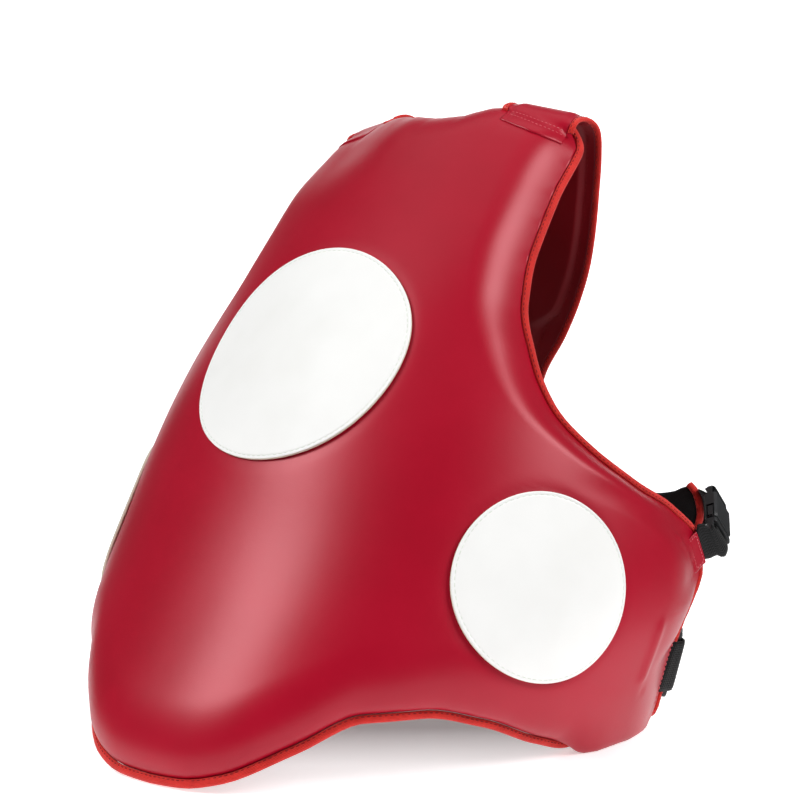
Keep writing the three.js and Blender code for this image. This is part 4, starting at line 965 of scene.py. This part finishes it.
re = lower[2] * math.cos(turn) - lower[3] * math.sin(turn)
rn = lower[3] * math.cos(turn) + lower[2] * math.sin(turn)
ring_o = at(lower, 0, bar_e, 0)
in_ring = lambda e, n, a=0.0: ring_o + lower[1] * a + re * e + rn * n
hl, d1 = RING["len"] / 2 - RING["bar"] / 2, RING["deep"] - RING["bar"]
corner = 3.2
loop = []
for ca, ce, a0 in ((hl - corner, d1 - corner, 0), (-hl + corner, d1 - corner, 90), (-hl + corner, corner, 180), (hl - corner, corner, 270)):
    for d in np.linspace(a0, a0 + 90, 9):
        loop.append((ca + corner * math.cos(math.radians(d)), ce + corner * math.sin(math.radians(d))))
loop = np.array(loop)
full = []
for p, q in zip(loop, np.roll(loop, -1, 0)):
    steps = max(1, int(np.hypot(*(q - p)) / 3.0))
    full += [p + (q - p) * k / steps for k in range(steps)]
full = np.array(full)
path = np.array([in_ring(e, 0, a) for a, e in full])
t = tangents(path, True)
side = np.cross(t, rn)
sec = np.linspace(0, 2 * math.pi, 16, endpoint=False)
sq = lambda c: np.sign(c) * np.abs(c) ** 0.62
rings = path[:, None] + side[:, None] * (sq(np.cos(sec)) * RING["bar"] / 2)[None, :, None] + rn[None, None] * (sq(np.sin(sec)) * RING["thick"] / 2)[None, :, None]
v, f = loft(rings, True)
both("belt_ring", v, f, [BLACK], node_name="ring")

ob_e = RING["deep"] - RING["bar"]
end_pts = [in_ring(e, n) for e, n in ((ob_e + 26, 5.4), (ob_e + 12, 5.0), (ob_e + 2, 4.4), (ob_e - 4.2, 3.4), (ob_e - 4.9, 0), (ob_e - 4.2, -3.4), (ob_e + 2, -4.4), (ob_e + 12, -4.6))]
mid_pt = np.array([0, BELT_BACK_Y, BELT_BACK_Z])
knee = np.array([105, BELT_BACK_Y, BELT_BACK_Z - 6])
bez = lambda t: end_pts[-1] * (1 - t) ** 2 + knee * 2 * t * (1 - t) + mid_pt * t * t
run_pts = [bez(k / 8) for k in range(1, 8)]
a_up = lower[1] * np.sign(lower[1][2])
lean = lambda k: unit(a_up * (1 - k) + np.array([0, 0, 1.0]) * k)
leans = [lean(0)] * 8 + [lean(k) for k in (0.25, 0.5, 0.75, 1, 1, 1, 1)]
half_pts, half_len = np.array(end_pts + run_pts), np.array(leans)
pts = np.vstack([half_pts, mid_pt[None], mirrored(half_pts)[::-1]])
lns = np.vstack([half_len, [[0, 0, 1.0]], mirrored(half_len)[::-1]])
bp, bwid = curve_through(pts, step=1.6, extra=(lns,))
s = arc(bp)
base = flat_profile(BELT_W, BELT_T, 26)
prof = np.repeat(base[None], len(bp), 0).copy()
wave = 0.55 * np.sin(s / 1.9) + 0.35 * np.sin(s / 4.3 + 1.0)
rimward = np.abs(base[:, 0]) / (BELT_W / 2)
prof[..., 0] += np.sign(base[None, :, 0]) * (rimward ** 6)[None] * wave[:, None]
prof[..., 1] *= 1 + 0.10 * np.sin(base[None, :, 0] * 2 * math.pi / 3.3)
rings, wd, th = strip(bp, unit(bwid), prof)
v, f = loft(rings)
uv = np.stack(np.broadcast_arrays((s / 10)[:, None], base[None, :, 0] / 10 + 5), -1).reshape(-1, 2)
belt = piece("cloth_belt", v, f, [WEB], uv=np.vstack([uv, uv[:1], uv[-1:]]))
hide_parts("waist_belt")

# ------------------------------------------------------------------ floor, light, camera
scene.view_settings.view_transform = "Standard"
A, E, D = math.radians(38.24), math.radians(7.32), 1.74284
right = Vector((math.cos(A), math.sin(A), 0))
toward = Vector((math.sin(A), -math.cos(A), 0))
back = Vector((math.sin(A) * math.cos(E), -math.cos(A) * math.cos(E), math.sin(E)))
look = right * 0.07833 + Vector((0, FRAME_Y / 1000, 0.27014))


def flat(name, points, material):
    me = bpy.data.meshes.new(name)
    me.from_pydata(points, [], [(0, 1, 2, 3)])
    me.materials.append(material)
    ob = bpy.data.objects.new(name, me)
    scene.collection.objects.link(ob)
    return ob


# white table top that glows in a fan around the object and falls off to the front and the sides, a painted pool of
# light; close under and just in front of the object its glow and its colour drop, a painted shadow under the arch; and
# a white wall well behind
fm, nt, bsdf = shader("pale_floor_painted_light_and_shadow", 0.36, 0.25)
co = nt.nodes.new("ShaderNodeTexCoord").outputs["Object"]
xyz = node(nt, "ShaderNodeSeparateXYZ")
nt.links.new(co, xyz.inputs["Vector"])
fn = node(nt, "ShaderNodeTexNoise", Scale=3.0, Detail=2.0)
nt.links.new(co, fn.inputs["Vector"])
# near_edge and flank_edge fade the glow and the colour off to the front and the sides: the edge of the painted pool of
# light
near_edge = node(nt, "ShaderNodeMapRange")
near_edge.inputs["From Min"].default_value, near_edge.inputs["From Max"].default_value = -0.80, -0.42
nt.links.new(xyz.outputs["Y"], near_edge.inputs["Value"])
off = node(nt, "ShaderNodeMath", operation="ABSOLUTE")
nt.links.new(xyz.outputs["X"], off.inputs[0])
fan = node(nt, "ShaderNodeMath", operation="MULTIPLY_ADD")
fan.inputs[1].default_value = -0.22
nt.links.new(xyz.outputs["Y"], fan.inputs[0])
nt.links.new(off.outputs["Value"], fan.inputs[2])
flank_edge = node(nt, "ShaderNodeMapRange")
flank_edge.inputs["From Min"].default_value, flank_edge.inputs["From Max"].default_value = 0.56, 0.41
nt.links.new(fan.outputs["Value"], flank_edge.inputs["Value"])
painted_light_pool = node(nt, "ShaderNodeMath", operation="MULTIPLY")
nt.links.new(near_edge.outputs["Result"], painted_light_pool.inputs[0])
nt.links.new(flank_edge.outputs["Result"], painted_light_pool.inputs[1])
painted_pool_with_noise = node(nt, "ShaderNodeMath", operation="MULTIPLY")
nt.links.new(painted_light_pool.outputs["Value"], painted_pool_with_noise.inputs[0])
nt.links.new(grey(nt, fn.outputs["Fac"], 0.96, 1.0), painted_pool_with_noise.inputs[1])
reach = node(nt, "ShaderNodeVectorMath", operation="LENGTH")
nt.links.new(co, reach.inputs[0])
# clear (by reach from the middle) and front (by depth) keep the glow low close around and just in front of the object:
# painted shadow under the arch
clear = node(nt, "ShaderNodeMapRange")
clear.inputs["From Min"].default_value, clear.inputs["From Max"].default_value = 0.16, 0.26
clear.inputs["To Min"].default_value, clear.inputs["To Max"].default_value = 0.03, FLOOR_GLOW
nt.links.new(reach.outputs["Value"], clear.inputs["Value"])
front = node(nt, "ShaderNodeMapRange")
front.inputs["From Min"].default_value, front.inputs["From Max"].default_value = -0.045, -0.15
front.inputs["To Min"].default_value, front.inputs["To Max"].default_value = 0.12, 0.66
nt.links.new(xyz.outputs["Y"], front.inputs["Value"])
glow_cut_by_painted_shadow = node(nt, "ShaderNodeMath", operation="MAXIMUM")
nt.links.new(clear.outputs["Result"], glow_cut_by_painted_shadow.inputs[0])
nt.links.new(front.outputs["Result"], glow_cut_by_painted_shadow.inputs[1])
# emission: the painted pool of light with the painted shadow cut out of it
glow = node(nt, "ShaderNodeMath", operation="MULTIPLY")
nt.links.new(painted_light_pool.outputs["Value"], glow.inputs[0])
nt.links.new(glow_cut_by_painted_shadow.outputs["Value"], glow.inputs[1])
nt.links.new(glow.outputs["Value"], bsdf.inputs["Emission Strength"])
# the floor colour also goes darker in the painted shadow and outside the painted pool of light
shade = node(nt, "ShaderNodeMapRange")
shade.inputs["From Min"].default_value, shade.inputs["From Max"].default_value = 0.03, 0.45
shade.inputs["To Min"].default_value, shade.inputs["To Max"].default_value = 0.5, 1.0
nt.links.new(glow_cut_by_painted_shadow.outputs["Value"], shade.inputs["Value"])
painted_pool_and_shadow_tone = node(nt, "ShaderNodeMath", operation="MULTIPLY")
nt.links.new(painted_pool_with_noise.outputs["Value"], painted_pool_and_shadow_tone.inputs[0])
nt.links.new(shade.outputs["Result"], painted_pool_and_shadow_tone.inputs[1])
nt.links.new(ramp(nt, painted_pool_and_shadow_tone.outputs["Value"], [(0.0, (0.50, 0.50, 0.503)), (1.0, (0.80, 0.80, 0.805))]), bsdf.inputs["Base Color"])
bsdf.inputs["Emission Color"].default_value = (1, 1, 1, 1)
floor = flat("floor", [(-9, -5, 0), (9, -5, 0), (9, 9, 0), (-9, 9, 0)], fm)
floor.location, floor.rotation_euler = (0, 0, -0.0004), (0, 0, A)

wm, nt, bsdf = shader("white_wall", 0.9, 0.1)
fn = node(nt, "ShaderNodeTexNoise", Scale=1.0, Detail=1.0)
nt.links.new(nt.nodes.new("ShaderNodeTexCoord").outputs["Object"], fn.inputs["Vector"])
nt.links.new(ramp(nt, fn.outputs["Fac"], [(0.3, (0.88, 0.88, 0.88)), (0.7, (0.9, 0.9, 0.9))]), bsdf.inputs["Base Color"])
nt.links.new(grey(nt, fn.outputs["Fac"], 1.02, 1.06), bsdf.inputs["Emission Strength"])
bsdf.inputs["Emission Color"].default_value = (1, 1, 1, 1)
wall = flat("wall", [(-1.9, 0, -0.01), (1.9, 0, -0.01), (1.9, 0, 2.6), (-1.9, 0, 2.6)], wm)
wall.location, wall.rotation_euler = -toward * 4.2, (0, 0, A)

world = bpy.data.worlds.new("studio")
scene.world = world
world.use_nodes = True
world.node_tree.nodes["Background"].inputs["Color"].default_value = (1, 1, 1, 1)
world.node_tree.nodes["Background"].inputs["Strength"].default_value = 0.09


def softbox(name, azimuth, elevation, far_m, size, radiance):
    """Area light seen from the object at an angle from the camera (right is plus) and above the floor."""
    a, e = math.radians(azimuth), math.radians(elevation)
    middle = Vector((0, 0, 0.25))
    spot = middle + (right * math.sin(a) + toward * math.cos(a)) * (math.cos(e) * far_m) + Vector((0, 0, math.sin(e) * far_m))
    ld = bpy.data.lights.new(name, "AREA")
    ld.shape, ld.size, ld.size_y, ld.energy = "RECTANGLE", size[0], size[1], radiance * math.pi * size[0] * size[1]
    lo = bpy.data.objects.new(name, ld)
    lo.location, lo.rotation_euler = spot, (middle - spot).to_track_quat("-Z", "Y").to_euler()
    scene.collection.objects.link(lo)


softbox("left_box", -64, 40, 1.8, (0.8, 0.7), 13.4)
softbox("right_box", 68, 32, 1.8, (1.0, 0.8), 10.0)
softbox("top_box", 180, 84, 2.4, (2.6, 2.6), 0.7)

cam_data = bpy.data.cameras.new("camera")
cam_data.sensor_fit, cam_data.sensor_width = "HORIZONTAL", 36.0
cam_data.lens = 1.25 * D * 1000 / 800 * 36.0
cam_data.clip_end = 60
cam = bpy.data.objects.new("camera", cam_data)
cam.location = look + back * D
cam.rotation_euler = (-back).to_track_quat("-Z", "Y").to_euler()
scene.collection.objects.link(cam)
scene.camera = cam
